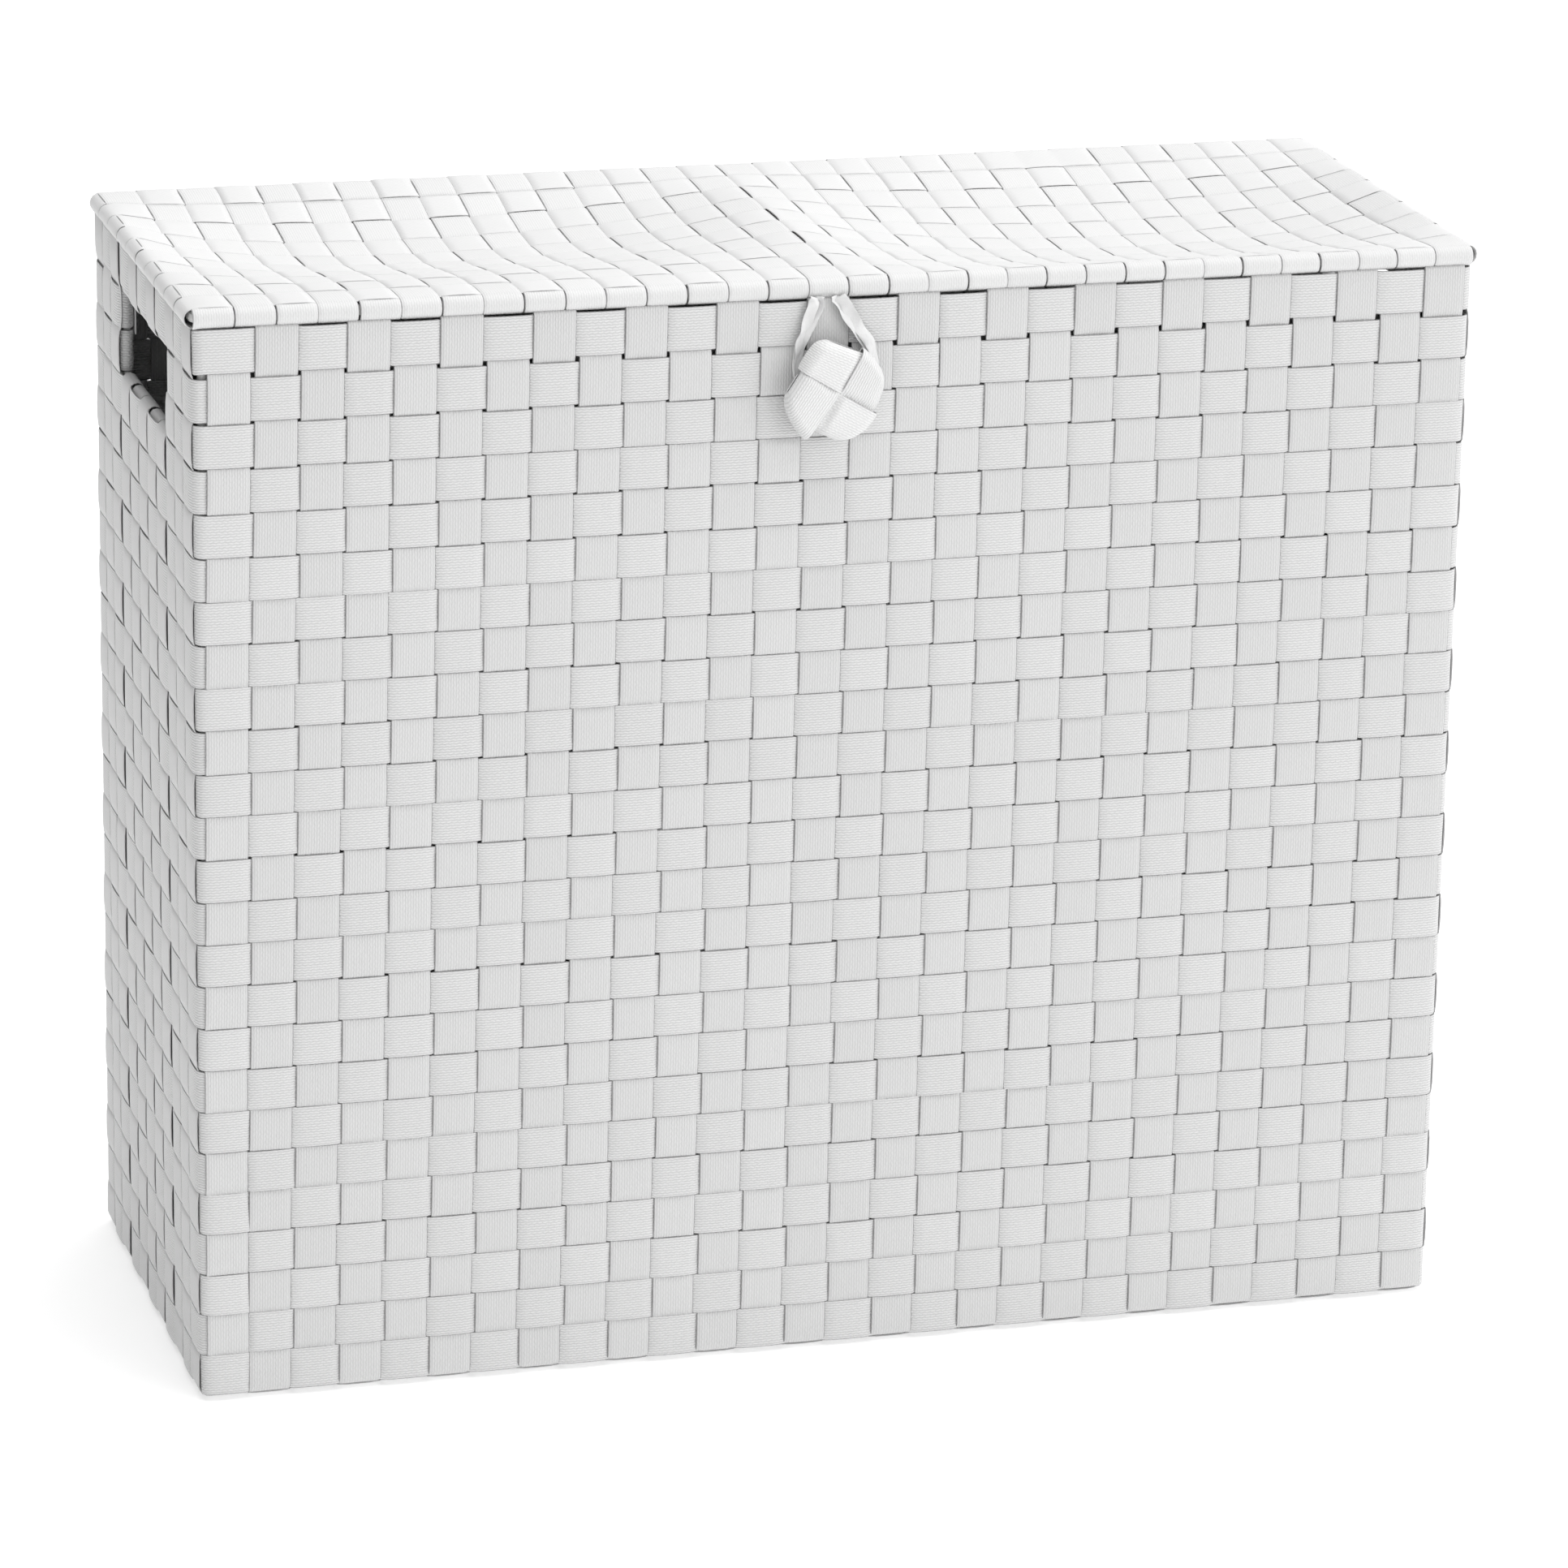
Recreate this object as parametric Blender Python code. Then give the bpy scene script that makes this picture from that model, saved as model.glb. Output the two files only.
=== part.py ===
"""Woven laundry hamper with a hinged lid, two hand holes and a ribbon pull.

Metres, +Z up, front towards -Y. The origin is on the floor under the middle of the basket.
Straps lie on a welded wire frame: hoops run round the outside, stakes stand behind them.
"""
import math

import bmesh
import bpy
from mathutils import Vector

# Basket, over the outside of the straps
BODY_WIDTH = 0.600
BODY_DEPTH = 0.240
BODY_HEIGHT = 0.505

# Straps and how they are laid
STRAP_WIDTH = 0.0195
STRAP_GAP = 0.0004
TOP_ROW_SPARE = 0.0024
HOOP_THICKNESS = 0.0013
STAKE_THICKNESS = 0.0014
BASE_THICKNESS = 0.0030
RIM_THICKNESS = 0.0016
RIM_TURN_DOWN = 0.0140

# Hand holes, one in each side
HAND_HOLE_LENGTH = 0.118
HAND_HOLE_ROWS = 2
HAND_WIRE = 0.0040
HAND_WIRE_BEND = 0.004

# Wire frame; the bend is the rings' own, at the middle of the wire
FRAME_WIRE = 0.0050
FRAME_BEND = 0.0032
BASE_BAR_SPACING = 0.200

# Lid
LID_SIDE_OVERHANG = 0.002
LID_GAP = 0.0012
LID_SHELL = 0.0019
LID_LIP = 0.0015
LID_BAR_WIRE = 0.0040

# Hinge loops round the two rear rails
HINGE_SPREAD = 0.317
HINGE_THICKNESS = 0.0010
HINGE_SIDE_CLEARANCE = 0.0010
HINGE_SEAT_CLEARANCE = 0.0006

# Pull: a folded strap knot on two strands of ribbon
PULL_X = -0.005
RIBBON_DIAMETER = 0.0016
KNOT_CLEARANCE = 0.0040
KNOT_THICKNESS = 0.0127
KNOT_RADIUS = 0.0262
KNOT_DROP = 0.041
KNOT_EDGE = 0.0030
KNOT_SIDES = 5
KNOT_TURN = -8

FIT_GAP = 0.0003
CORNER_STEPS = 5
ROUND_STEPS = 16
LID_EDGE_STEPS = 8

# Sizes that follow
HALF_WIDTH = BODY_WIDTH / 2
HALF_DEPTH = BODY_DEPTH / 2
FRAME_RADIUS = FRAME_WIRE / 2
STAKE_OUTSIDE = HOOP_THICKNESS + FIT_GAP
STAKE_INSIDE = STAKE_OUTSIDE + STAKE_THICKNESS
RAIL_INSET = STAKE_INSIDE + FIT_GAP + FRAME_RADIUS
RIM_REACH = RAIL_INSET + FRAME_RADIUS + FIT_GAP + STAKE_THICKNESS
CORNER_RADIUS = RAIL_INSET + FRAME_BEND
TOP_RAIL_Z = BODY_HEIGHT - RIM_THICKNESS - FIT_GAP - FRAME_RADIUS
BASE_RAIL_Z = BASE_THICKNESS + FIT_GAP + FRAME_RADIUS

HOOP_ROWS = int((BODY_HEIGHT - TOP_ROW_SPARE) / (STRAP_WIDTH + STRAP_GAP))
ROW_PITCH = (BODY_HEIGHT - TOP_ROW_SPARE) / HOOP_ROWS
HAND_ROWS = range(2, 2 + HAND_HOLE_ROWS)

LID_EDGE_RADIUS = FRAME_RADIUS + FIT_GAP + LID_SHELL
LID_RAIL_Z = BODY_HEIGHT + LID_GAP + LID_EDGE_RADIUS
LID_HALF_WIDTH = HALF_WIDTH + LID_SIDE_OVERHANG - LID_EDGE_RADIUS
LID_FRONT_Y = -HALF_DEPTH + LID_EDGE_RADIUS
LID_REAR_Y = HALF_DEPTH - RAIL_INSET
LID_HALF_DEPTH = (LID_REAR_Y - LID_FRONT_Y) / 2
LID_MIDDLE_Y = (LID_REAR_Y + LID_FRONT_Y) / 2
HINGE_LOOPS = {"left": -HINGE_SPREAD / 2, "right": HINGE_SPREAD / 2}
HINGE_SEAT = FRAME_RADIUS + FIT_GAP + HINGE_THICKNESS + HINGE_SEAT_CLEARANCE


def clear_scene():
    for item in list(bpy.data.objects):
        bpy.data.objects.remove(item, do_unlink=True)


def material(name, colour, roughness, metallic=0.0):
    finish = bpy.data.materials.new(name)
    finish.use_nodes = True
    shader = finish.node_tree.nodes["Principled BSDF"]
    shader.inputs["Base Color"].default_value = (*colour, 1.0)
    shader.inputs["Roughness"].default_value = roughness
    shader.inputs["Metallic"].default_value = metallic
    return finish


def axis_empty(name, place, parent=None):
    """An empty on a joint's axis, which the moving pieces hang from."""
    empty = bpy.data.objects.new(name, None)
    bpy.context.collection.objects.link(empty)
    empty.parent = parent
    empty.location = Vector(place) - (parent.location if parent else Vector())
    return empty


def add_object(name, data, finish, place=(0, 0, 0), turn=(0, 0, 0), axis=None):
    """Link one named piece; place is in the world, and axis is the empty that it moves with."""
    piece = bpy.data.objects.new(name, data)
    bpy.context.collection.objects.link(piece)
    piece.rotation_euler = turn
    piece.location = place
    if finish:
        data.materials.append(finish)
    if axis:
        piece.parent = axis
        piece.location = Vector(place) - axis_place(axis)
    return piece


def axis_place(axis):
    place = axis.location.copy()
    while axis.parent:
        axis = axis.parent
        place += axis.location
    return place


def loft_mesh(name, loops, ring=False):
    """Skin equal loops of points; ring joins the last loop to the first, otherwise both ends are capped."""
    mesh = bmesh.new()
    rows = [[mesh.verts.new(point) for point in loop] for loop in loops]
    count = len(loops[0])
    pairs = list(zip(rows, rows[1:]))
    if ring:
        pairs.append((rows[-1], rows[0]))
    for low, high in pairs:
        for index in range(count):
            after = (index + 1) % count
            mesh.faces.new((low[index], low[after], high[after], high[index]))
    if not ring:
        mesh.faces.new(reversed(rows[0]))
        mesh.faces.new(rows[-1])
    bmesh.ops.recalc_face_normals(mesh, faces=mesh.faces)
    data = bpy.data.meshes.new(name)
    mesh.to_mesh(data)
    mesh.free()
    return data


def smooth(piece, angle=40):
    piece.data.shade_smooth()
    piece.data.set_sharp_from_angle(angle=math.radians(angle))


def box_loops(low, high):
    corners = ((low[0], low[1]), (high[0], low[1]), (high[0], high[1]), (low[0], high[1]))
    return [[(x, y, z) for x, y in corners] for z in (low[2], high[2])]


def rounded_rectangle(half_x, half_y, radius, steps=CORNER_STEPS):
    """Points of a rounded rectangle, anticlockwise from the middle of its right side."""
    points = []
    for quarter in range(4):
        side_x = 1 if quarter in (0, 3) else -1
        side_y = 1 if quarter in (0, 1) else -1
        for step in range(steps + 1):
            angle = (quarter + step / steps) * math.pi / 2
            points.append((side_x * (half_x - radius) + radius * math.cos(angle),
                           side_y * (half_y - radius) + radius * math.sin(angle)))
    return points


def cut(piece, name, boxes):
    """Take boxes away from a piece with one hidden cutter."""
    for index, (low, high) in enumerate(boxes):
        cutter_name = f"{name}_{index + 1}"
        cutter = add_object(cutter_name, loft_mesh(cutter_name, box_loops(low, high)), None)
        cutter.hide_render = True
        cutter.display_type = "WIRE"
        notch = piece.modifiers.new(cutter_name, "BOOLEAN")
        notch.operation = "DIFFERENCE"
        notch.solver = "EXACT"
        notch.object = cutter


# ---------------------------------------------------------------- wire frame

def wire_curve(name, points, diameter, finish, closed, place=(0, 0, 0), turn=(0, 0, 0), axis=None):
    curve = bpy.data.curves.new(name, "CURVE")
    curve.dimensions = "3D"
    spline = curve.splines.new("POLY")
    spline.points.add(len(points) - 1)
    for point, target in zip(points, spline.points):
        target.co = (*point, 1.0)
    spline.use_cyclic_u = closed
    curve.bevel_depth = diameter / 2
    curve.bevel_resolution = 2
    curve.use_fill_caps = not closed
    return add_object(name, curve, finish, place, turn, axis)


def wire_ring(name, half_x, half_y, bend, diameter, finish, place, turn=(0, 0, 0), axis=None):
    outline = [(x, y, 0.0) for x, y in rounded_rectangle(half_x, half_y, bend)]
    return wire_curve(name, outline, diameter, finish, True, place, turn, axis)


def straight_wire(name, length, diameter, finish, place, turn=(0, 0, 0), axis=None):
    radius = diameter / 2
    turns = [index * 2 * math.pi / ROUND_STEPS for index in range(ROUND_STEPS)]
    circle = [(radius * math.cos(angle), radius * math.sin(angle)) for angle in turns]
    ends = (-length / 2, length / 2)
    mesh = loft_mesh(name, [[(x, y, z) for x, y in circle] for z in ends])
    wire = add_object(name, mesh, finish, place, turn, axis)
    smooth(wire)
    return wire


def build_frame(finish):
    half_x = HALF_WIDTH - RAIL_INSET
    half_y = HALF_DEPTH - RAIL_INSET
    wire_ring("top_ring", half_x, half_y, FRAME_BEND, FRAME_WIRE, finish, (0, 0, TOP_RAIL_Z))
    wire_ring("base_ring", half_x, half_y, FRAME_BEND, FRAME_WIRE, finish, (0, 0, BASE_RAIL_Z))

    weld = FRAME_RADIUS + FIT_GAP
    post_length = TOP_RAIL_Z - BASE_RAIL_Z - 2 * weld
    post_z = (TOP_RAIL_Z + BASE_RAIL_Z) / 2
    corner = FRAME_BEND * (1 - math.cos(math.pi / 4))
    for depth_name, side_y in (("front", -1), ("rear", 1)):
        for width_name, side_x in (("left", -1), ("right", 1)):
            place = (side_x * (half_x - corner), side_y * (half_y - corner), post_z)
            straight_wire(f"corner_post_{depth_name}_{width_name}", post_length, FRAME_WIRE, finish, place)

    bar_length = 2 * (half_y - weld)
    for width_name, side_x in (("left", -1), ("right", 1)):
        place = (side_x * BASE_BAR_SPACING / 2, 0, BASE_RAIL_Z)
        straight_wire(f"base_crossbar_{width_name}", bar_length, FRAME_WIRE, finish, place,
                      (math.pi / 2, 0, 0))


def hand_hole_span():
    """Lowest and highest z of the hand holes, from the rows that they interrupt."""
    top = row_span(HAND_ROWS[0])[1]
    bottom = row_span(HAND_ROWS[-1])[0]
    return bottom, top


def build_hand_wires(finish):
    bottom, top = hand_hole_span()
    reach = HAND_WIRE / 2 + FIT_GAP
    half_length = HAND_HOLE_LENGTH / 2 + reach
    half_height = (top - bottom) / 2 + reach
    inset = STAKE_INSIDE + FIT_GAP + HAND_WIRE / 2
    for width_name, side_x in (("left", -1), ("right", 1)):
        place = (side_x * (HALF_WIDTH - inset), 0, (top + bottom) / 2)
        wire_ring(f"hand_hole_wire_{width_name}", half_height, half_length, HAND_WIRE_BEND, HAND_WIRE,
                  finish, place, (0, math.pi / 2, 0))


# ---------------------------------------------------------------- woven basket

def row_span(row):
    """Bottom and top of a hoop row; row 1 is at the rim, and its spare room is below it."""
    drop = (row - 0.5) * ROW_PITCH + (TOP_ROW_SPARE if row > 1 else 0.0)
    middle = BODY_HEIGHT - drop
    return middle - STRAP_WIDTH / 2, middle + STRAP_WIDTH / 2


def hoop_sections(outside, inside, bottom, top):
    return [[(*outer, bottom), (*inner, bottom), (*inner, top), (*outer, top)]
            for outer, inner in zip(outside, inside)]


def hoop_outlines():
    outside = rounded_rectangle(HALF_WIDTH, HALF_DEPTH, CORNER_RADIUS)
    inside = rounded_rectangle(HALF_WIDTH - HOOP_THICKNESS, HALF_DEPTH - HOOP_THICKNESS,
                               CORNER_RADIUS - HOOP_THICKNESS)
    return outside, inside


def open_hoop(outline, side_y, reach):
    """The part of a hoop outline on one side of the hand holes, ends at plus and minus reach."""
    kept = [point for point in outline if point[1] * side_y > 0]
    if side_y < 0:
        kept = sorted(kept, key=lambda point: math.atan2(point[1], point[0]))
    edge = max(abs(point[0]) for point in kept)
    first = (edge * side_y, side_y * reach)
    last = (-edge * side_y, side_y * reach)
    return [first] + kept + [last]


def build_hoops(finish):
    outside, inside = hoop_outlines()
    for row in range(1, HOOP_ROWS + 1):
        bottom, top = row_span(row)
        name = f"hoop_{row:02d}"
        if row not in HAND_ROWS:
            mesh = loft_mesh(name, hoop_sections(outside, inside, bottom, top), ring=True)
            add_object(name, mesh, finish)
            continue
        for depth_name, side_y in (("front", -1), ("rear", 1)):
            outer = open_hoop(outside, side_y, HAND_HOLE_LENGTH / 2)
            inner = open_hoop(inside, side_y, HAND_HOLE_LENGTH / 2)
            part_name = f"{name}_{depth_name}"
            mesh = loft_mesh(part_name, hoop_sections(outer, inner, bottom, top))
            add_object(part_name, mesh, finish)


def stake_profile(bottom):
    """Inset and height of a wall that turns over the top ring and a little way down inside it."""
    underside = BODY_HEIGHT - RIM_THICKNESS
    tail = underside - RIM_TURN_DOWN
    inner_face = RIM_REACH - STAKE_THICKNESS
    return ((STAKE_OUTSIDE, bottom), (STAKE_OUTSIDE, BODY_HEIGHT), (RIM_REACH, BODY_HEIGHT),
            (RIM_REACH, tail), (inner_face, tail), (inner_face, underside),
            (STAKE_INSIDE, underside), (STAKE_INSIDE, bottom))


def stake_wall(name, half_length, half_reach, turn, finish):
    """One woven wall, built facing -Y and turned about Z to its own side."""
    bottom = BASE_THICKNESS + FIT_GAP
    profile = stake_profile(bottom)
    loops = [[(x, inset - half_reach, z) for inset, z in profile] for x in (-half_length, half_length)]
    return add_object(name, loft_mesh(name, loops), finish, turn=(0, 0, turn))


def hinge_notches(front_y, rear_y, bottom, top):
    half = STRAP_WIDTH / 2 + HINGE_SIDE_CLEARANCE
    return [((x - half, front_y, bottom), (x + half, rear_y, top)) for x in HINGE_LOOPS.values()]


def build_walls(finish):
    front_half = HALF_WIDTH - CORNER_RADIUS
    side_half = HALF_DEPTH - max(CORNER_RADIUS, RIM_REACH + FIT_GAP)
    stake_wall("front_stakes", front_half, HALF_DEPTH, 0, finish)
    rear = stake_wall("rear_stakes", front_half, HALF_DEPTH, math.pi, finish)
    cut(rear, "rear_hinge_notch", hinge_notches(HALF_DEPTH - RIM_REACH - HINGE_SEAT, HALF_DEPTH + HINGE_SEAT,
                                                TOP_RAIL_Z - HINGE_SEAT, BODY_HEIGHT + HINGE_SEAT))

    bottom, top = hand_hole_span()
    half = HAND_HOLE_LENGTH / 2
    for width_name, side_x, turn in (("left", -1, -math.pi / 2), ("right", 1, math.pi / 2)):
        wall = stake_wall(f"{width_name}_stakes", side_half, HALF_WIDTH, turn, finish)
        across = sorted((side_x * (HALF_WIDTH - RIM_REACH - FRAME_WIRE), side_x * (HALF_WIDTH + FRAME_WIRE)))
        cut(wall, f"hand_hole_{width_name}", [((across[0], -half, bottom), (across[1], half, top))])


def build_base(finish):
    outline = rounded_rectangle(HALF_WIDTH - STAKE_OUTSIDE, HALF_DEPTH - STAKE_OUTSIDE,
                                CORNER_RADIUS - STAKE_OUTSIDE)
    loops = [[(x, y, z) for x, y in outline] for z in (0.0, BASE_THICKNESS)]
    add_object("base_weave", loft_mesh("base_weave", loops), finish)


# ---------------------------------------------------------------- lid and hinge

def lid_loops():
    """Loops from the underside of the sheet, round the rail and over the top of the lid."""
    bore = FRAME_RADIUS + FIT_GAP
    arc = [math.pi / 2 - step * math.pi / LID_EDGE_STEPS for step in range(LID_EDGE_STEPS + 1)]
    inner = [(bore * math.cos(angle), bore * math.sin(angle)) for angle in arc]
    outer = [(LID_EDGE_RADIUS * math.cos(angle), LID_EDGE_RADIUS * math.sin(angle))
             for angle in reversed(arc)]
    lip = [(-LID_LIP, -bore), (-LID_LIP, -LID_EDGE_RADIUS)]
    loops = []
    for outward, height in inner + lip + outer:
        outline = rounded_rectangle(LID_HALF_WIDTH + outward, LID_HALF_DEPTH + outward, FRAME_BEND + outward)
        loops.append([(x, y + LID_MIDDLE_Y - LID_REAR_Y, height) for x, y in outline])
    return loops


def build_lid(strap, wire, lid_axis):
    wire_ring("lid_ring", LID_HALF_WIDTH, LID_HALF_DEPTH, FRAME_BEND, FRAME_WIRE, wire,
              (0, LID_MIDDLE_Y, LID_RAIL_Z), axis=lid_axis)
    straight_wire("lid_crossbar", 2 * (LID_HALF_DEPTH - FRAME_RADIUS - FIT_GAP), LID_BAR_WIRE, wire,
                  (0, LID_MIDDLE_Y, LID_RAIL_Z), (math.pi / 2, 0, 0), lid_axis)
    weave = add_object("lid_weave", loft_mesh("lid_weave", lid_loops()), strap,
                       (0, LID_REAR_Y, LID_RAIL_Z), axis=lid_axis)
    cut(weave, "lid_hinge_notch", hinge_notches(LID_REAR_Y - HINGE_SEAT, LID_REAR_Y + 2 * LID_EDGE_RADIUS,
                                                LID_RAIL_Z - 2 * LID_EDGE_RADIUS,
                                                LID_RAIL_Z + 2 * LID_EDGE_RADIUS))


def racetrack(radius, rise):
    """A slot outline round two centres, the second one rise above the first."""
    points = []
    for centre, start in ((0.0, math.pi), (rise, 0.0)):
        for step in range(ROUND_STEPS // 2 + 1):
            angle = start + step * 2 * math.pi / ROUND_STEPS
            points.append((radius * math.cos(angle), centre + radius * math.sin(angle)))
    return points


def build_hinge_loops(finish):
    rise = LID_RAIL_Z - TOP_RAIL_Z
    inside = racetrack(FRAME_RADIUS + FIT_GAP, rise)
    outside = racetrack(FRAME_RADIUS + FIT_GAP + HINGE_THICKNESS, rise)
    half = STRAP_WIDTH / 2
    sections = [[(-half, *outer), (half, *outer), (half, *inner), (-half, *inner)]
                for outer, inner in zip(outside, inside)]
    for width_name, x in HINGE_LOOPS.items():
        name = f"hinge_loop_{width_name}"
        loop = add_object(name, loft_mesh(name, sections, ring=True), finish, (x, LID_REAR_Y, TOP_RAIL_Z))
        smooth(loop)


# ---------------------------------------------------------------- pull

# Each strand, across from the pull's middle, out from the basket's front, and down from the lid's rail
LEFT_STRAND = ((-0.0090, 0.0003, 0.0033), (-0.0100, 0.0016, 0.0066), (-0.0140, 0.0019, 0.0166),
               (-0.0180, 0.0017, 0.0260), (-0.0188, 0.0016, 0.0380), (-0.0150, 0.0016, 0.0490))
RIGHT_STRAND = ((0.0005, 0.0003, 0.0033), (0.0020, 0.0016, 0.0066), (0.0080, 0.0020, 0.0166),
                (0.0145, 0.0018, 0.0260), (0.0158, 0.0016, 0.0380), (0.0120, 0.0016, 0.0490))
STRAND_STEPS = 5


def smooth_route(points, steps):
    """Points on a Catmull-Rom curve through the route."""
    route = [Vector(point) for point in points]
    padded = [2 * route[0] - route[1]] + route + [2 * route[-1] - route[-2]]
    result = []
    for before, start, end, after in zip(padded, padded[1:], padded[2:], padded[3:]):
        for step in range(steps):
            t = step / steps
            result.append(0.5 * (2 * start + (end - before) * t
                                 + (2 * before - 5 * start + 4 * end - after) * t ** 2
                                 + (3 * start - before - 3 * end + after) * t ** 3))
    return result + [route[-1]]


def build_pull(strap, ribbon, pull_axis):
    for width_name, strand in (("left", LEFT_STRAND), ("right", RIGHT_STRAND)):
        route = [(across, -out - LID_EDGE_RADIUS, -down) for across, out, down in strand]
        wire_curve(f"pull_ribbon_{width_name}", smooth_route(route, STRAND_STEPS), RIBBON_DIAMETER, ribbon,
                   False, (PULL_X, LID_FRONT_Y, LID_RAIL_Z), axis=pull_axis)

    corners = [math.radians(90 + KNOT_TURN + 360 / KNOT_SIDES * index) for index in range(KNOT_SIDES)]
    outline = [(KNOT_RADIUS * math.cos(angle), KNOT_RADIUS * math.sin(angle)) for angle in corners]
    loops = [[(x, y, z) for x, z in outline] for y in (KNOT_THICKNESS / 2, -KNOT_THICKNESS / 2)]
    knot_y = -HALF_DEPTH - KNOT_CLEARANCE - KNOT_THICKNESS / 2
    knot = add_object("pull_knot", loft_mesh("pull_knot", loops), strap,
                      (PULL_X, knot_y, BODY_HEIGHT - KNOT_DROP), axis=pull_axis)
    edge = knot.modifiers.new("folded_edge", "BEVEL")
    edge.width = KNOT_EDGE
    edge.segments = 2
    smooth(knot)


def main():
    clear_scene()
    strap = material("white_strap", (0.86, 0.86, 0.87), 0.55)
    wire = material("coated_wire", (0.80, 0.80, 0.80), 0.40, 0.2)
    ribbon = material("white_ribbon", (0.88, 0.88, 0.89), 0.45)

    lid_axis = axis_empty("lid_axis", (0, LID_REAR_Y, LID_RAIL_Z))
    pull_axis = axis_empty("pull_axis", (PULL_X, LID_FRONT_Y, LID_RAIL_Z), lid_axis)

    build_frame(wire)
    build_hand_wires(wire)
    build_hoops(strap)
    build_walls(strap)
    build_base(strap)
    build_lid(strap, wire, lid_axis)
    build_hinge_loops(strap)
    build_pull(strap, ribbon, pull_axis)


main()
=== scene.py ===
"""Looks of a woven laundry hamper: flat webbing over a welded wire frame, a hinged woven lid,
two hinge loops, and a folded strap knot hung on two ribbons.

Metres, +Z up, front towards -Y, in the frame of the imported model.
"""
import math
from collections import namedtuple

import bpy
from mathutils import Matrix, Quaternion, Vector, noise


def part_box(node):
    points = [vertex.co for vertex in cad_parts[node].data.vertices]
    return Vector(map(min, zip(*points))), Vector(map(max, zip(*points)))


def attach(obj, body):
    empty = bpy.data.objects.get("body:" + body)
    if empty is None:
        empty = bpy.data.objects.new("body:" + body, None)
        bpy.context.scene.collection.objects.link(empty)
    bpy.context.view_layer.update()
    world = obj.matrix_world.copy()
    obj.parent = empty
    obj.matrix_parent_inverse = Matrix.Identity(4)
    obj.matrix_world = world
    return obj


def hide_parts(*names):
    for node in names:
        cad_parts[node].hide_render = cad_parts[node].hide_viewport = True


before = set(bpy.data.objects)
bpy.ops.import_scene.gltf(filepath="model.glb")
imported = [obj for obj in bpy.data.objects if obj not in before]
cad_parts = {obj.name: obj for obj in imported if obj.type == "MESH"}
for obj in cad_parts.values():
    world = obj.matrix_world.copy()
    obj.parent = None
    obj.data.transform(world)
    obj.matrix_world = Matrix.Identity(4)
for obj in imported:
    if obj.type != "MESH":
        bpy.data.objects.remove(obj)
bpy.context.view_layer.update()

UP = Vector((0, 0, 1))

# ---------------------------------------------------------------- sizes

# Webbing; a crossing gives shares of the half strap from its middle, and of the lift there
HOOP_WIDTH = 0.0199
STAKE_WIDTH = 0.0196
STRAP_THICKNESS = 0.0007
SECTION_POINTS = 16
EDGE_FULLNESS = 2.4
CROSSING = ((-1.0, 0.45), (-0.6, 0.9), (0.0, 1.0), (0.6, 0.9), (1.0, 0.45))
WEAVE_LIFT = 0.00080
WEAVE_CROWN = 0.00016
EDGE_MARGIN = 0.0003

# Basket weave
WALL_INSET = 0.0017
HOOP_CORNER = 0.0043
HOOP_ROWS = 25
HAND_ROWS = (2, 3)
LONG_COUNT = 28
LONG_PITCH = 0.02113
LEAN_LEFT = 0.0060
LEAN_RIGHT = -0.0010
REAR_LEAN_SHARE = 0.4
END_PLACES = (-0.1060, -0.0866, -0.0672, -0.0432, -0.0216, 0.0,
              0.0216, 0.0432, 0.0672, 0.0866, 0.1060)
HAND_STAKES = (4, 5, 6, 7, 8)
TOP_ROWS_RISE = (0.0009, 0.0007, 0.0004, 0.0002)
TOP_ROW_WIDTH = 0.0203
OUTER_ROW_TILT = 0.0009
FARTHEST_STAKE = 0.2862
LOW_ROW_LIFT = 0.0025
LOW_ROWS = 10
JITTER = 0.00035
ROW_DRIFT = 0.0004
RIM_TAIL = 0.040
RIM_TUCK = 0.0033
CREST_SLOPE = 0.4
CREST_DROP = 0.0012
HAND_TAIL = 0.030
HAND_TUCK = 0.0028
HAND_GAP = 0.0010
SHORT_RIM_TAIL = 0.005
SHORT_HAND_TAIL = 0.008
HOOP_TAIL = 0.035
HINGED_STAKES = (7, 22)

# Lid weave
LID_CROSS_COUNT = 32
LID_CROSS_PITCH = 0.01866
LID_CROSS_WIDTH = 0.0185
LID_ROW_COUNT = 10
LID_ROW_WIDTH = 0.0226
LID_LIFT = 0.00065
LID_MIDDLE = 0.00375
LID_TUCK = 0.0048
LID_RAIL_BULGE = 0.0003
LID_TAIL = 0.035
LID_TAIL_SHARES = (1.0, 0.66, 0.33)
LID_TAIL_GAP = 0.0028
LID_CROSS_JITTER = 0.0003
LID_ROW_JITTER = 0.0004
HINGED_CROSS_GAP = 0.006
HINGED_CROSS = (8, 25)

# Sag of the lid on each side of its middle bar: depth, place of the deepest line from front to rear,
# and how flat it is near the rails
SAG_LEFT = (0.0150, 0.60, 1.5)
SAG_RIGHT = (0.0175, 0.45, 1.2)
SAG_SIDE_RUN = 0.045
SAG_RIDGE_RUN = 0.060
SAG_RIDGE = 0.0008
SAG_RIDGE_ROUND = 0.010
SLOPE_STEP = 0.001

# Hinge loops: gap round the wires, where the strap starts, and the lap of its end: how far inward of
# the loop, and how high
LOOP_GAP = 0.0008
LOOP_START = 0.0085
LOOP_SPREAD = 0.0004
LOOP_LAP = ((0.0011, 0.0070), (0.0013, -0.0060), (0.0013, -0.0200))

# Pull
PULL_X = -0.005
RIBBON_THICKNESS = 0.0003

# Camera: focal length in mm, turn in degrees about the upright, across and along axes, and place
CAMERA_LENS = 161.85
CAMERA_TURN = (-15.907, -17.786, -1.012)
CAMERA_PLACE = (-0.8670, -3.0698, 1.2634)

# Light from all round: its strength, and how much more comes from the right than from the left
SKY_STRENGTH = 0.86
SKY_SIDE = 0.66

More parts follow.
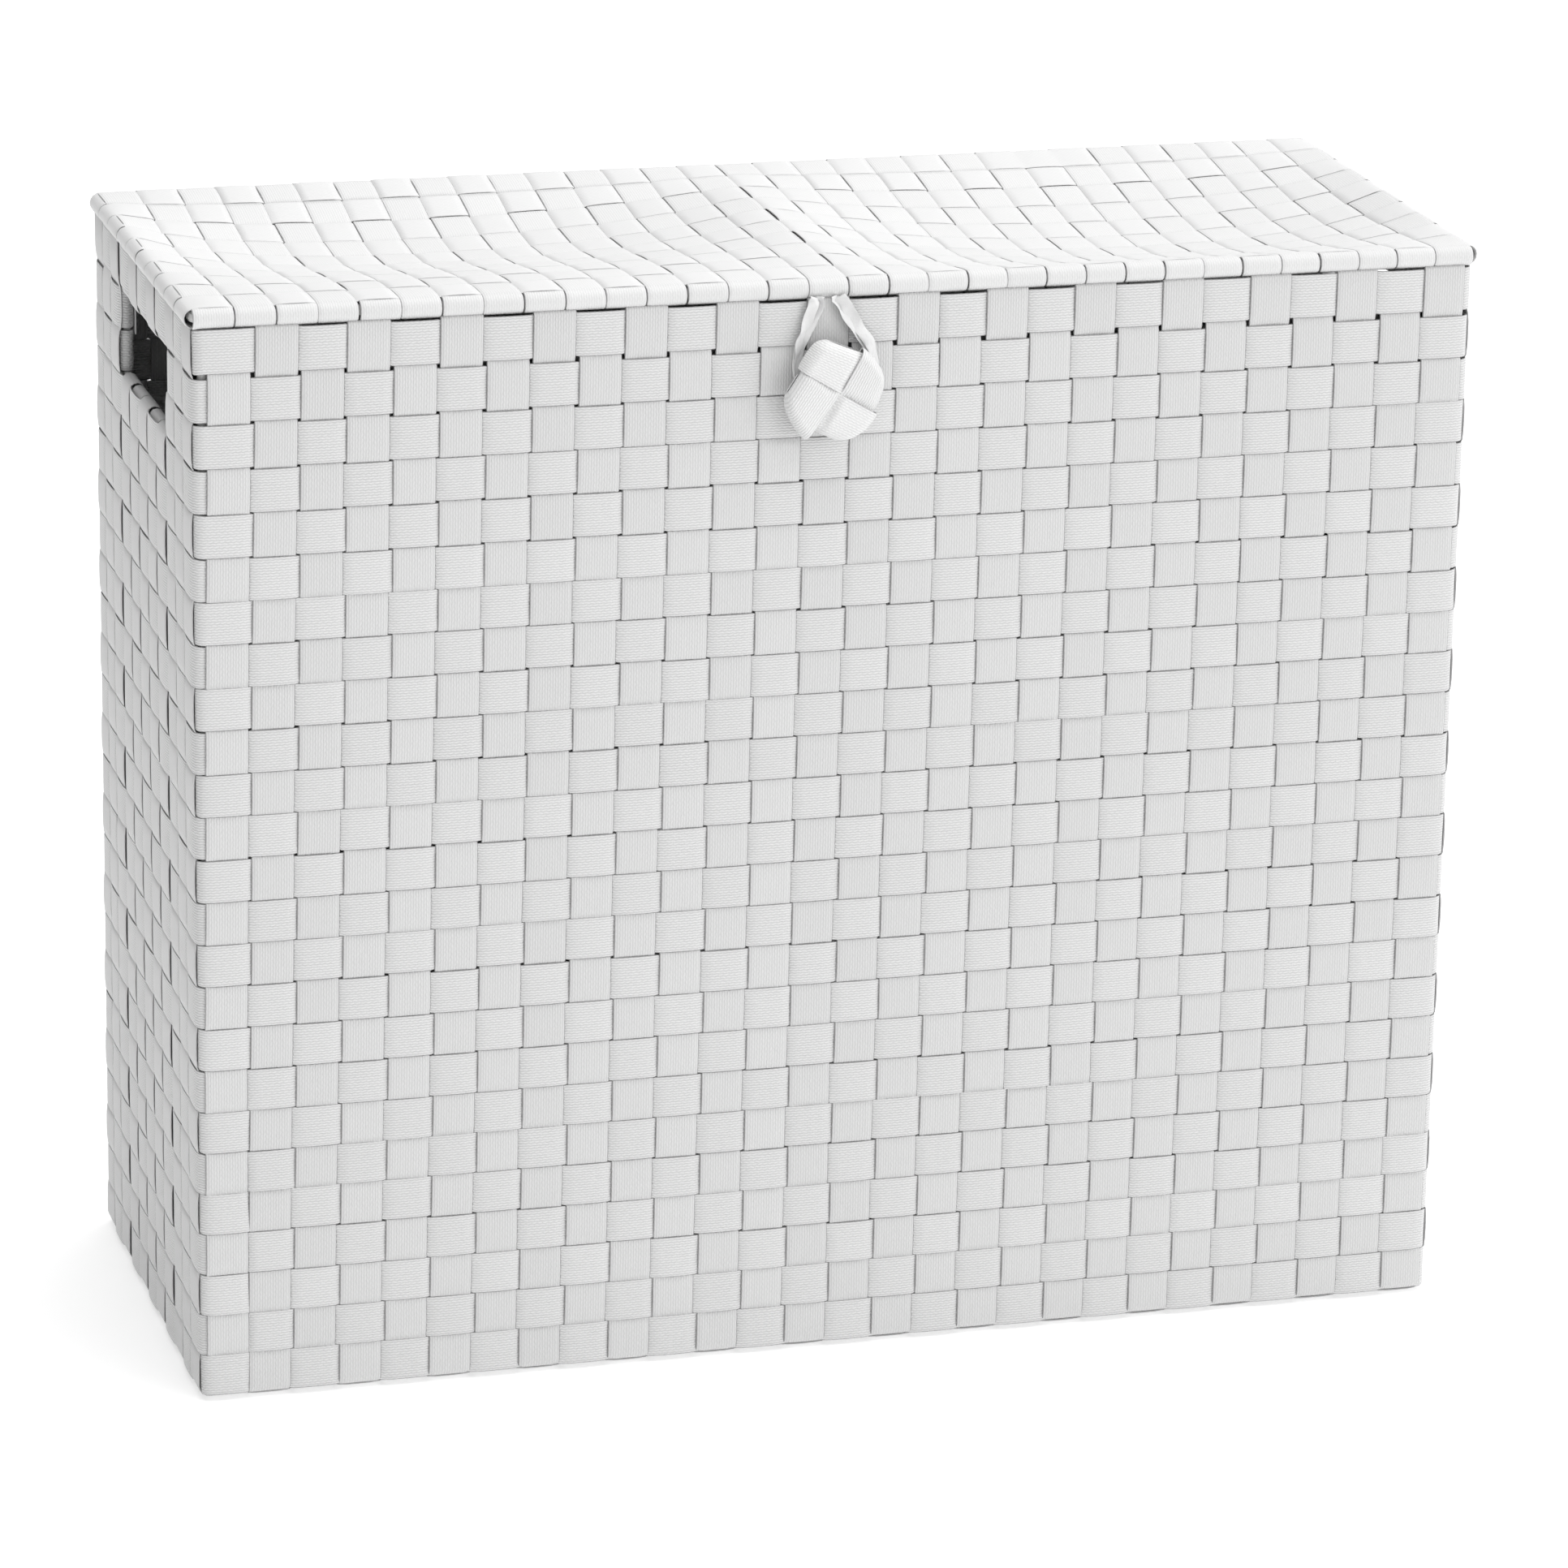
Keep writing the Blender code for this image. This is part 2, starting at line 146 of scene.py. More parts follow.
# Lamps: name, place, what it points at, its two sides, and watts
LAMPS = (("overhead", (0.2, 0.1, 2.6), (0, 0, 0.5), (2.4, 2.0), 28.0),
         ("front right", (1.6, -2.8, 1.3), (0, 0, 0.35), (1.6, 1.6), 11.0))
FLOOR_HALF = 30.0

# Webbing finish: wander of the stitches, dip between them, how the tone varies with painted shade along
# the strap edges, and loose fibres
STITCH_WANDER = 0.25
STITCH_DIP = 0.45
SHADE_SPREAD = 0.014
BLOTCH_SPREAD = 0.03
EDGE_PAINTED_SHADE = 0.03
FUZZ = 0.12
POWDER_WHITE = (0.72, 0.72, 0.71)
RIBBON_WHITE = (0.80, 0.80, 0.80)

# ---------------------------------------------------------------- places that follow from the frame

Side = namedtuple("Side", "name out along reach half ring wire")


def middle(low, high):
    return (low + high) / 2


hoop_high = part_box("hoop_01")[1]
HALF_X = hoop_high.x - WALL_INSET
HALF_Y = hoop_high.y - WALL_INSET
ring_low, ring_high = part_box("top_ring")
WIRE_RADIUS = (ring_high.z - ring_low.z) / 2
RING_X = ring_high.x - WIRE_RADIUS
RING_Y = ring_high.y - WIRE_RADIUS
TOP_RING_Z = middle(ring_low.z, ring_high.z)
BASE_RING_Z = middle(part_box("base_ring")[0].z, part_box("base_ring")[1].z)
hand_low, hand_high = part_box("hand_hole_wire_right")
HAND_WIRE_RADIUS = (hand_high.x - hand_low.x) / 2
HAND_X = middle(hand_low.x, hand_high.x)
HAND_Y = hand_high.y - HAND_WIRE_RADIUS
HAND_TOP_Z = hand_high.z - HAND_WIRE_RADIUS
HAND_BOTTOM_Z = hand_low.z + HAND_WIRE_RADIUS
BASE_Z = WALL_INSET

rail_low, rail_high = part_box("lid_ring")
LID_X = rail_high.x - WIRE_RADIUS
LID_FRONT = rail_low.y + WIRE_RADIUS
LID_REAR = rail_high.y - WIRE_RADIUS
LID_RAIL_Z = middle(rail_low.z, rail_high.z)
LID_ROW_PITCH = (LID_REAR - LID_FRONT) / LID_ROW_COUNT

FRONT = Side("front", Vector((0, -1, 0)), Vector((1, 0, 0)), HALF_Y, HALF_X, RING_Y, RING_Y)
RIGHT = Side("right", Vector((1, 0, 0)), Vector((0, 1, 0)), HALF_X, HALF_Y, RING_X, HAND_X)
REAR = Side("rear", Vector((0, 1, 0)), Vector((-1, 0, 0)), HALF_Y, HALF_X, RING_Y, RING_Y)
LEFT = Side("left", Vector((-1, 0, 0)), Vector((0, -1, 0)), HALF_X, HALF_Y, RING_X, HAND_X)


# ---------------------------------------------------------------- camera and floor

def make_camera():
    lens_data = bpy.data.cameras.new("camera")
    lens_data.sensor_width = 36.0
    lens_data.lens = CAMERA_LENS
    lens_data.clip_end = 100.0
    camera = bpy.data.objects.new("camera", lens_data)
    bpy.context.collection.objects.link(camera)
    yaw, pitch, roll = (math.radians(angle) for angle in CAMERA_TURN)
    camera.rotation_mode = "QUATERNION"
    turn = Quaternion((0, 0, 1), yaw) @ Quaternion((1, 0, 0), pitch) @ Quaternion((0, 1, 0), roll)
    camera.rotation_quaternion = turn @ Quaternion((1, 0, 0), math.pi / 2)
    camera.location = CAMERA_PLACE
    bpy.context.scene.camera = camera


# ---------------------------------------------------------------- straps

class Strap:
    """The middle line of one strap, the way its face looks, and its rise and tilt across its width."""

    def __init__(self, shade=0.0, start=0.0):
        self.stations = []
        self.shade = shade
        self.start = start

    def add(self, place, outward, crown=0.0, tilt=0.0):
        place = Vector(place)
        if self.stations and (place - self.stations[-1][0]).length < EDGE_MARGIN:
            return
        self.stations.append((place, Vector(outward).normalized(), crown, tilt))

    def extend(self, stations):
        for station in stations:
            self.add(*station)


def uneven(amount, *place):
    """A small smooth irregularity, the same each run."""
    padded = (list(place) + [0.5, 0.5])[:3]
    return amount * noise.noise(Vector(padded)) * 2


def strap_shade(kind, index):
    return uneven(1.0, kind * 7.3 + index * 1.71, index * 0.37 + 3.1, kind * 2.9)


def strap_tree():
    """Sweep a flat strap along each path with its face square to the path's outward direction."""
    tree = bpy.data.node_groups.new("Strap sweep", "GeometryNodeTree")
    sockets = tree.interface
    sockets.new_socket("Paths", in_out="INPUT", socket_type="NodeSocketGeometry")
    for name, value in (("Strap width", HOOP_WIDTH), ("Strap thickness", STRAP_THICKNESS),
                        ("Edge fullness", EDGE_FULLNESS)):
        socket = sockets.new_socket(name, in_out="INPUT", socket_type="NodeSocketFloat")
        socket.default_value = value
    count = sockets.new_socket("Section points", in_out="INPUT", socket_type="NodeSocketInt")
    count.default_value = SECTION_POINTS
    sockets.new_socket("Finish", in_out="INPUT", socket_type="NodeSocketMaterial")
    sockets.new_socket("Straps", in_out="OUTPUT", socket_type="NodeSocketGeometry")
    nodes = tree.nodes
    join = tree.links.new

    def node(kind, **settings):
        made = nodes.new(kind)
        for key, value in settings.items():
            setattr(made, key, value)
        return made

    def named(name, data_type="FLOAT"):
        made = node("GeometryNodeInputNamedAttribute", data_type=data_type)
        made.inputs["Name"].default_value = name
        return made.outputs["Attribute"]

    def math_node(operation, first, second=None):
        made = node("ShaderNodeMath", operation=operation)
        for socket, value in zip(made.inputs, (first, second)):
            if isinstance(value, (int, float)):
                socket.default_value = value
            elif value is not None:
                join(value, socket)
        return made.outputs[0]

    given = node("NodeGroupInput").outputs

    # The section: a circle pressed flat, with soft edges
    circle = node("GeometryNodeCurvePrimitiveCircle", mode="RADIUS")
    join(given["Section points"], circle.inputs["Resolution"])
    circle.inputs["Radius"].default_value = 1.0
    split = node("ShaderNodeSeparateXYZ")
    join(node("GeometryNodeInputPosition").outputs[0], split.inputs[0])
    keep_across = node("GeometryNodeStoreNamedAttribute", data_type="FLOAT", domain="POINT")
    keep_across.inputs["Name"].default_value = "across"
    join(circle.outputs["Curve"], keep_across.inputs["Geometry"])
    join(split.outputs["Y"], keep_across.inputs["Value"])
    full = math_node("MULTIPLY", split.outputs["X"], given["Edge fullness"])
    flat = math_node("MAXIMUM", math_node("MINIMUM", full, 1.0), -1.0)
    half_thickness = math_node("MULTIPLY", given["Strap thickness"], 0.5)
    half_width = math_node("MULTIPLY", given["Strap width"], 0.5)
    pressed = node("ShaderNodeCombineXYZ")
    join(math_node("MULTIPLY", flat, half_thickness), pressed.inputs["X"])
    join(math_node("MULTIPLY", split.outputs["Y"], half_width), pressed.inputs["Y"])
    section = node("GeometryNodeSetPosition")
    join(keep_across.outputs["Geometry"], section.inputs["Geometry"])
    join(pressed.outputs[0], section.inputs["Position"])

    # The sweep
    curve = node("GeometryNodeMeshToCurve")
    join(given["Paths"], curve.inputs["Mesh"])
    facing = node("GeometryNodeSetCurveNormal", mode="FREE")
    join(curve.outputs[0], facing.inputs["Curve"])
    join(named("outward", "FLOAT_VECTOR"), facing.inputs["Normal"])
    sweep_node = node("GeometryNodeCurveToMesh")
    join(facing.outputs[0], sweep_node.inputs["Curve"])
    join(section.outputs[0], sweep_node.inputs["Profile Curve"])
    sweep_node.inputs["Fill Caps"].default_value = True

    # The rise of the middle and the tilt of the edges
    across = named("across")
    square = math_node("MULTIPLY", across, across)
    rise = math_node("MULTIPLY", named("crown"), math_node("SUBTRACT", 1.0, square))
    lean = math_node("MULTIPLY", named("tilt"), across)
    push = node("ShaderNodeVectorMath", operation="SCALE")
    join(named("outward", "FLOAT_VECTOR"), push.inputs[0])
    join(math_node("ADD", rise, lean), push.inputs["Scale"])
    shaped = node("GeometryNodeSetPosition")
    join(sweep_node.outputs[0], shaped.inputs["Geometry"])
    join(push.outputs[0], shaped.inputs["Offset"])

    smooth = node("GeometryNodeSetShadeSmooth")
    join(shaped.outputs[0], smooth.inputs["Geometry"])
    whole = node("GeometryNodeRealizeInstances")
    join(smooth.outputs[0], whole.inputs["Geometry"])
    finish = node("GeometryNodeSetMaterial")
    join(whole.outputs[0], finish.inputs["Geometry"])
    join(given["Finish"], finish.inputs["Material"])
    join(finish.outputs[0], node("NodeGroupOutput").inputs["Straps"])
    return tree


STRAP_TREE = strap_tree()


def squared(stations):
    """Outward directions made square to the line through the stations."""
    places = [station[0] for station in stations]
    for index, (_, outward, _, _) in enumerate(stations):
        before = places[max(index - 1, 0)]
        after = places[min(index + 1, len(places) - 1)]
        run = (after - before).normalized()
        yield (outward - run * outward.dot(run)).normalized()


def sweep(name, straps, finish, width=HOOP_WIDTH, thickness=STRAP_THICKNESS,
          fullness=EDGE_FULLNESS, section_points=SECTION_POINTS):
    """One finished piece from the straps' middle lines."""
    points, edges, outward, along, crown, tilt, shade = [], [], [], [], [], [], []
    for strap in straps:
        first = len(points)
        travelled = strap.start
        for index, (station, facing) in enumerate(zip(strap.stations, squared(strap.stations))):
            if index:
                travelled += (station[0] - points[-1]).length
                edges.append((first + index - 1, first + index))
            points.append(station[0])
            outward.extend(facing)
            along.append(travelled)
            crown.append(station[2])
            tilt.append(station[3])
            shade.append(strap.shade)
    paths = bpy.data.meshes.new(name + "_paths")
    paths.from_pydata(points, edges, [])
    paths.attributes.new("outward", "FLOAT_VECTOR", "POINT").data.foreach_set("vector", outward)
    for key, values in (("along", along), ("crown", crown), ("tilt", tilt), ("shade", shade)):
        paths.attributes.new(key, "FLOAT", "POINT").data.foreach_set("value", values)

    piece = bpy.data.objects.new(name, paths)
    bpy.context.collection.objects.link(piece)
    modifier = piece.modifiers.new("strap", "NODES")
    modifier.node_group = STRAP_TREE
    wanted = {"Strap width": width, "Strap thickness": thickness, "Edge fullness": fullness,
              "Section points": section_points, "Finish": finish}
    for socket in STRAP_TREE.interface.items_tree:
        if socket.name in wanted:
            modifier[socket.identifier] = wanted[socket.name]
    depsgraph = bpy.context.evaluated_depsgraph_get()
    made = bpy.data.meshes.new_from_object(piece.evaluated_get(depsgraph),
                                           preserve_all_data_layers=True, depsgraph=depsgraph)
    made.name = name
    piece.modifiers.clear()
    piece.data = made
    bpy.data.meshes.remove(paths)
    return piece


# ---------------------------------------------------------------- finishes

def new_finish(name, colour, roughness, **settings):
    finish = bpy.data.materials.new(name)
    finish.use_nodes = True
    shader = finish.node_tree.nodes["Principled BSDF"]
    shader.inputs["Base Color"].default_value = (*colour, 1.0)
    shader.inputs["Roughness"].default_value = roughness
    for socket, value in settings.items():
        shader.inputs[socket.replace("_", " ")].default_value = value
    return finish, shader


class Graph:
    """Short calls for a material's nodes."""

    def __init__(self, finish):
        self.tree = finish.node_tree

    def node(self, kind, **settings):
        made = self.tree.nodes.new(kind)
        for key, value in settings.items():
            setattr(made, key, value)
        return made

    def put(self, value, socket):
        if isinstance(value, (int, float, tuple)):
            socket.default_value = value
        else:
            self.tree.links.new(value, socket)

    def math(self, operation, *values):
        made = self.node("ShaderNodeMath", operation=operation)
        for value, socket in zip(values, made.inputs):
            self.put(value, socket)
        return made.outputs[0]

    def attribute(self, name):
        return self.node("ShaderNodeAttribute", attribute_name=name).outputs["Fac"]

    def scale(self, value, low, high):
        """From 0..1 to low..high."""
        made = self.node("ShaderNodeMapRange", clamp=True)
        self.put(value, made.inputs["Value"])
        made.inputs["To Min"].default_value = low
        made.inputs["To Max"].default_value = high
        return made.outputs["Result"]

    def speckle(self, scale, detail=2.0):
        made = self.node("ShaderNodeTexNoise")
        made.inputs["Scale"].default_value = scale
        made.inputs["Detail"].default_value = detail
        self.put(self.node("ShaderNodeTexCoord").outputs["Object"], made.inputs["Vector"])
        return made.outputs["Fac"]

    def tint(self, shader, colour, amount):
        """The colour made lighter or darker, on the shader."""
        mix = self.node("ShaderNodeVectorMath", operation="SCALE")
        mix.inputs[0].default_value = colour
        self.put(amount, mix.inputs["Scale"])
        self.put(mix.outputs[0], shader.inputs["Base Color"])

    def emboss(self, shader, height, strength, distance):
        bump = self.node("ShaderNodeBump")
        bump.inputs["Strength"].default_value = strength
        bump.inputs["Distance"].default_value = distance
        self.put(height, bump.inputs["Height"])
        self.put(bump.outputs["Normal"], shader.inputs["Normal"])


def webbing(name, grey, columns, stitch, sway, relief, groove_shade):
    """Ribbed strap: columns of long soft ribs, each a stitch long and half a stitch on from its
    neighbours, on lines that sway by a share of a column."""
    colour = (grey, grey, grey)
    finish, shader = new_finish(name, colour, 0.46, Sheen_Weight=0.10, Sheen_Roughness=0.4,
                                Specular_IOR_Level=0.42)
    graph = Graph(finish)
    across = graph.attribute("across")
    along = graph.attribute("along")
    column = graph.math("MULTIPLY", graph.math("ADD", across, 1.0), columns / 2)
    run = graph.math("MULTIPLY", along, 1 / stitch)
    wave = graph.math("SINE", graph.math("MULTIPLY", run, 2 * math.pi))
    column = graph.math("ADD", column, graph.math("MULTIPLY", wave, sway))
    within = graph.math("FRACT", column)
    odd = graph.math("MODULO", graph.math("FLOOR", graph.math("ADD", column, 2.0)), 2.0)
    wander = graph.math("MULTIPLY", graph.speckle(60.0), STITCH_WANDER)
    step = graph.math("ADD", graph.math("ADD", run, wander), graph.math("MULTIPLY", odd, 0.5))
    rib = graph.math("ABSOLUTE", graph.math("SINE", graph.math("MULTIPLY", step, math.pi)))
    crest = graph.math("SINE", graph.math("MULTIPLY", within, math.pi))
    height = graph.math("MULTIPLY", graph.scale(rib, STITCH_DIP, 1.0), crest)

    # Painted shade along the strap's long edges, where it meets its neighbours
    edge = graph.math("POWER", graph.math("ABSOLUTE", across), 14.0)
    blotch = graph.scale(graph.speckle(14.0, 3.0), -0.5, 0.5)
    # Painted shade: the colour darkens in the grooves between the ribs, by up to the given share
    tone = graph.scale(height, 1.0 - groove_shade, 1.0)
    for value, spread in ((graph.attribute("shade"), SHADE_SPREAD), (blotch, BLOTCH_SPREAD),
                          (edge, -EDGE_PAINTED_SHADE)):
        tone = graph.math("ADD", tone, graph.math("MULTIPLY", value, spread))
    graph.tint(shader, colour, tone)
    graph.put(graph.scale(height, 0.58, 0.42), shader.inputs["Roughness"])
    fuzz = graph.math("MULTIPLY", graph.speckle(2600.0), FUZZ)
    graph.emboss(shader, graph.math("ADD", height, fuzz), 0.8, relief)
    return finish


def powder_coat():
    finish, shader = new_finish("white powder coat", POWDER_WHITE, 0.42, Coat_Weight=0.25,
                                Coat_Roughness=0.3)
    graph = Graph(finish)
    pits = graph.speckle(1400.0, 3.0)
    graph.tint(shader, POWDER_WHITE, graph.scale(graph.speckle(25.0, 4.0), 0.9, 1.04))
    graph.put(graph.scale(pits, 0.36, 0.5), shader.inputs["Roughness"])
    graph.emboss(shader, pits, 0.35, 0.0001)
    return finish


def floor_finish():
    finish, _ = new_finish("floor paint", (0.80, 0.80, 0.80), 0.9, Specular_IOR_Level=0.1,
                           Emission_Color=(1.0, 1.0, 1.0, 1.0), Emission_Strength=0.42)
    return finish


HOOP_WEBBING = webbing("hoop webbing", 0.71, 16, 0.0026, 0.09, 0.00038, 0.17)
# Same strap as the hoops, painted darker as painted shade: the stakes' upright ribs catch less of the
# overhead light than the hoops' ribs
STAKE_WEBBING_PAINTED_SHADE = webbing("stake webbing painted shade", 0.645, 16, 0.0026, 0.07, 0.00022, 0.10)
LID_WEBBING = webbing("lid webbing", 0.70, 18, 0.0024, 0.07, 0.00012, 0.05)
LID_CROSS_WEBBING = webbing("lid cross webbing", 0.71, 16, 0.0024, 0.07, 0.00014, 0.07)
KNOT_WEBBING = webbing("knot webbing", 0.80, 17, 0.0024, 0.07, 0.00036, 0.13)
WIRE_COAT = powder_coat()


# ---------------------------------------------------------------- where the straps cross

def row_height(row):
    """Middle of a hoop row: its band's place, the top ones and the lowest ones a little up."""
    name = f"hoop_{row:02d}_front" if row in HAND_ROWS else f"hoop_{row:02d}"
    low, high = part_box(name)
    squeeze = max(0.0, (row - HOOP_ROWS + LOW_ROWS) / LOW_ROWS)
    return middle(low.z, high.z) + LOW_ROW_LIFT * squeeze ** 2 + sum(TOP_ROWS_RISE[row - 1:row])


ROW_Z = {row: row_height(row) for row in range(1, HOOP_ROWS + 1)}
WALL_HEIGHT = hoop_high.z


def long_x(side, index, height):
    """Across place of a front or rear stake, which leans a little from the foot to the rim."""
    share = (index - 1) / (LONG_COUNT - 1)
    lean = LEAN_LEFT + (LEAN_RIGHT - LEAN_LEFT) * share
    if side is REAR:
        lean *= REAR_LEAN_SHARE
    place = (index - (LONG_COUNT + 1) / 2) * LONG_PITCH
    place += lean * (height / WALL_HEIGHT - 0.5)
    seed = 2.0 if side is FRONT else 12.0
    place += uneven(JITTER, index * 9.1, height * 7, seed)
    return max(-FARTHEST_STAKE, min(FARTHEST_STAKE, place))


def end_y(side, index, height):
    seed = 5.0 if side is LEFT else 15.0
    return END_PLACES[index - 1] + uneven(JITTER, index * 6.3, height * 7, seed)


def row_z(side, row, place):
    """Height of a hoop where it passes a stake."""
    seed = {"front": 0.0, "right": 3.0, "rear": 6.0, "left": 9.0}[side.name]
    drift = uneven(ROW_DRIFT, place * 6 + seed, row * 0.9, 1.5)
    return ROW_Z[row] + drift


def ring_stations():
    """Every stake in order round the basket: side, its number there, and its number round the ring."""
    order = [(FRONT, index) for index in range(1, LONG_COUNT + 1)]
    order += [(RIGHT, index) for index in range(1, len(END_PLACES) + 1)]
    order += [(REAR, index) for index in range(LONG_COUNT, 0, -1)]
    order += [(LEFT, index) for index in range(len(END_PLACES), 0, -1)]
    return [(side, index, count) for count, (side, index) in enumerate(order, 1)]


RING = ring_stations()
COUNT_AT = {(side.name, index): count for side, index, count in RING}


def along_side(side, index, height):
    """Place of a stake along its side, in the direction that the hoops run."""
    if side in (FRONT, REAR):
        place = long_x(side, index, height)
    else:
        place = end_y(side, index, height)
    return place if side in (FRONT, RIGHT) else -place


def hoop_over(side, index, row):
    """True where the hoop passes outside the stake."""
    if side is REAR and row == 1 and index in HINGED_STAKES:
        return True
    return (COUNT_AT[side.name, index] + row) % 2 == 0


def stake_sign(side, index, row):
    """1 where the stake passes outside the hoop, and -1 where it passes inside."""
    return -1 if hoop_over(side, index, row) else 1


def on_wall(side, place, height, lift, crown=0.0, tilt=0.0):
    spot = side.out * (side.reach + lift) + side.along * place + UP * height
    return spot, side.out, crown, tilt


def arc(centre, first, second, start, end, first_radius, second_radius, steps=6):
    """Stations round a wire: angles in degrees from the first axis towards the second."""
    for step in range(steps + 1):
        share = step / steps
        angle = math.radians(start + (end - start) * share)
        radius = first_radius + (second_radius - first_radius) * share
        outward = first * math.cos(angle) + second * math.sin(angle)
        yield centre + outward * radius, outward


# ---------------------------------------------------------------- hoops

HALF_HOOP = HOOP_WIDTH / 2 - EDGE_MARGIN
HALF_STAKE = STAKE_WIDTH / 2 - EDGE_MARGIN


def hoop_corner(side, after, height_in, height_out, lift_in, lift_out):
    centre = side.out * (side.reach - HOOP_CORNER) + side.along * (side.half - HOOP_CORNER)
    steps = 5
    turn = arc(centre, side.out, after.out, 0, 90, HOOP_CORNER + lift_in, HOOP_CORNER + lift_out, steps)
    for step, (place, outward) in enumerate(turn):
        height = height_in + (height_out - height_in) * step / steps
        yield place + UP * height, outward


def hoop_run(strap, row, stations, last_lift=None):
    """Lay a hoop past the given stakes, over and under in turn."""
    previous = None
    for number, (side, index, _) in enumerate(stations):
        sign = -stake_sign(side, index, row)
        lift = sign * WEAVE_LIFT
        if last_lift and number == len(stations) - 1:
            lift = last_lift
        tilt = 0.0
        if sign < 0 and row in (1, HOOP_ROWS):
            tilt = OUTER_ROW_TILT if row == 1 else -OUTER_ROW_TILT
        height = row_z(side, row, along_side(side, index, ROW_Z[row]))
        place = along_side(side, index, height)
        if previous and previous[0] is not side:
            before, last_height, before_lift = previous
            strap.extend(hoop_corner(before, side, last_height, height, before_lift * 0.5, lift * 0.5))
        nearest = HAND_Y + HAND_GAP if row in HAND_ROWS and side in (LEFT, RIGHT) else 0.0
        limit = side.half - HOOP_CORNER - EDGE_MARGIN
        for share, part in CROSSING:
            spot = place + share * HALF_STAKE
            if nearest <= abs(spot) < limit:
                strap.add(*on_wall(side, spot, height, lift * part, sign * WEAVE_CROWN, tilt))
        previous = (side, height, lift)


def whole_hoop(row):
    """A strap all the way round, its ends lapped behind a rear stake."""
    candidates = [number for number, (side, index, _) in enumerate(RING)
                  if side is REAR and 4 < index < LONG_COUNT - 4 and not hoop_over(side, index, row)
                  and index not in HINGED_STAKES]
    start = candidates[(row * 5) % len(candidates)]
    stations = RING[start:] + RING[:start + 1]
    strap = Strap(strap_shade(1, row), row * 0.0113)
    hoop_run(strap, row, stations, last_lift=-WEAVE_LIFT - STRAP_THICKNESS)
    return strap


def turned_in(side, index, row, towards):
    """Stations of a hoop's end, from the wall round the upright of a hand hole to its tail inside."""
    height = row_z(side, row, 0.0)
    wire = side.out * HAND_X - towards * HAND_Y + UP * height
    outer = side.reach - HAND_X - stake_sign(side, index, row) * WEAVE_LIFT * 0.5
    found = list(arc(wire, side.out, towards, 0, 180, outer, HAND_TUCK))
    for share in (0.5, 1.0):
        found.append((wire - towards * HOOP_TAIL * share - side.out * HAND_TUCK, -side.out))
    return found


def split_hoop(row, front):
    """Half of an interrupted row: each end turns in round the upright of a hand hole."""
    if front:
        wanted = [("left", k) for k in (3, 2, 1)]
        wanted += [("front", k) for k in range(1, LONG_COUNT + 1)]
        wanted += [("right", k) for k in (1, 2, 3)]
    else:
        wanted = [("right", k) for k in (9, 10, 11)]
        wanted += [("rear", k) for k in range(LONG_COUNT, 0, -1)]
        wanted += [("left", k) for k in (11, 10, 9)]
    by_name = {(side.name, index): (side, index, count) for side, index, count in RING}
    stations = [by_name[key] for key in wanted]
    strap = Strap(strap_shade(2, row * 2 + front), row * 0.0171)

    first_side, first_index, _ = stations[0]
    last_side, last_index, _ = stations[-1]
    strap.extend(reversed(turned_in(first_side, first_index, row, -first_side.along)))
    hoop_run(strap, row, stations)
    strap.extend(turned_in(last_side, last_index, row, last_side.along))
    return strap


def make_hoops():
    for row in range(1, HOOP_ROWS + 1):
        if row in HAND_ROWS:
            parts = ((f"hoop_{row:02d}_front", split_hoop(row, True)),
                     (f"hoop_{row:02d}_rear", split_hoop(row, False)))
        else:
            parts = ((f"hoop_{row:02d}", whole_hoop(row)),)
        for node_name, strap in parts:
            width = TOP_ROW_WIDTH if row == 1 else HOOP_WIDTH
            piece = sweep("strap_" + node_name, [strap], HOOP_WEBBING, width)
            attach(piece, "basket")
            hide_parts(node_name)


# ---------------------------------------------------------------- stakes

def stake_down(side, index, rows, head, tail=RIM_TAIL, foot=True):
    """Stations of a stake from its end inside the rim, over the wire and down the outside of a wall.
    The head is the ring, the lower hand wire, or nothing where the end stays behind the top hoop."""
    def place(height):
        return along_side(side, index, height)

    def sign(row):
        return stake_sign(side, index, row)

    found = []
    top_z = TOP_RING_Z if head == "ring" else HAND_BOTTOM_Z
    wire_out = side.ring if head == "ring" else side.wire
    tuck = RIM_TUCK if head == "ring" else HAND_TUCK
    if head:
        across = side.along * place(top_z)
        outer = side.reach - wire_out + sign(rows[0]) * WEAVE_LIFT * (1.0 if head == "ring" else 0.5)
        for share in (1.0, 0.5):
            height = top_z - tail * share
            found.append((side.out * (wire_out - tuck) + across + UP * height, -side.out))
        centre = side.out * wire_out + across + UP * top_z
        if head == "ring" and sign(rows[0]) > 0:
            found.extend(arc(centre, side.out, UP, 180, 90, tuck, tuck, 3))
            crest = ROW_Z[1] + TOP_ROW_WIDTH / 2 + STRAP_THICKNESS
            found.append((side.out * side.reach + across + UP * crest, UP + side.out * CREST_SLOPE))
            outside = side.out * (side.reach + WEAVE_LIFT)
            found.append((outside + across + UP * (crest - CREST_DROP), side.out))
        else:
            found.extend(arc(centre, side.out, UP, 180, 0, tuck, outer))
    for row in rows:
        lift = sign(row) * WEAVE_LIFT
        row_middle = row_z(side, row, place(ROW_Z[row]))
        for share, part in CROSSING:
            height = row_middle - share * HALF_HOOP
            if head and height > top_z - EDGE_MARGIN:
                continue
            if foot and height < BASE_RING_Z + EDGE_MARGIN:
                continue
            held = row == 1 and share < 0 and head == "ring" or row == HOOP_ROWS and share > 0
            found.append(on_wall(side, place(height), height, lift * (1.0 if held else part),
                                 sign(row) * WEAVE_CROWN))
    return found


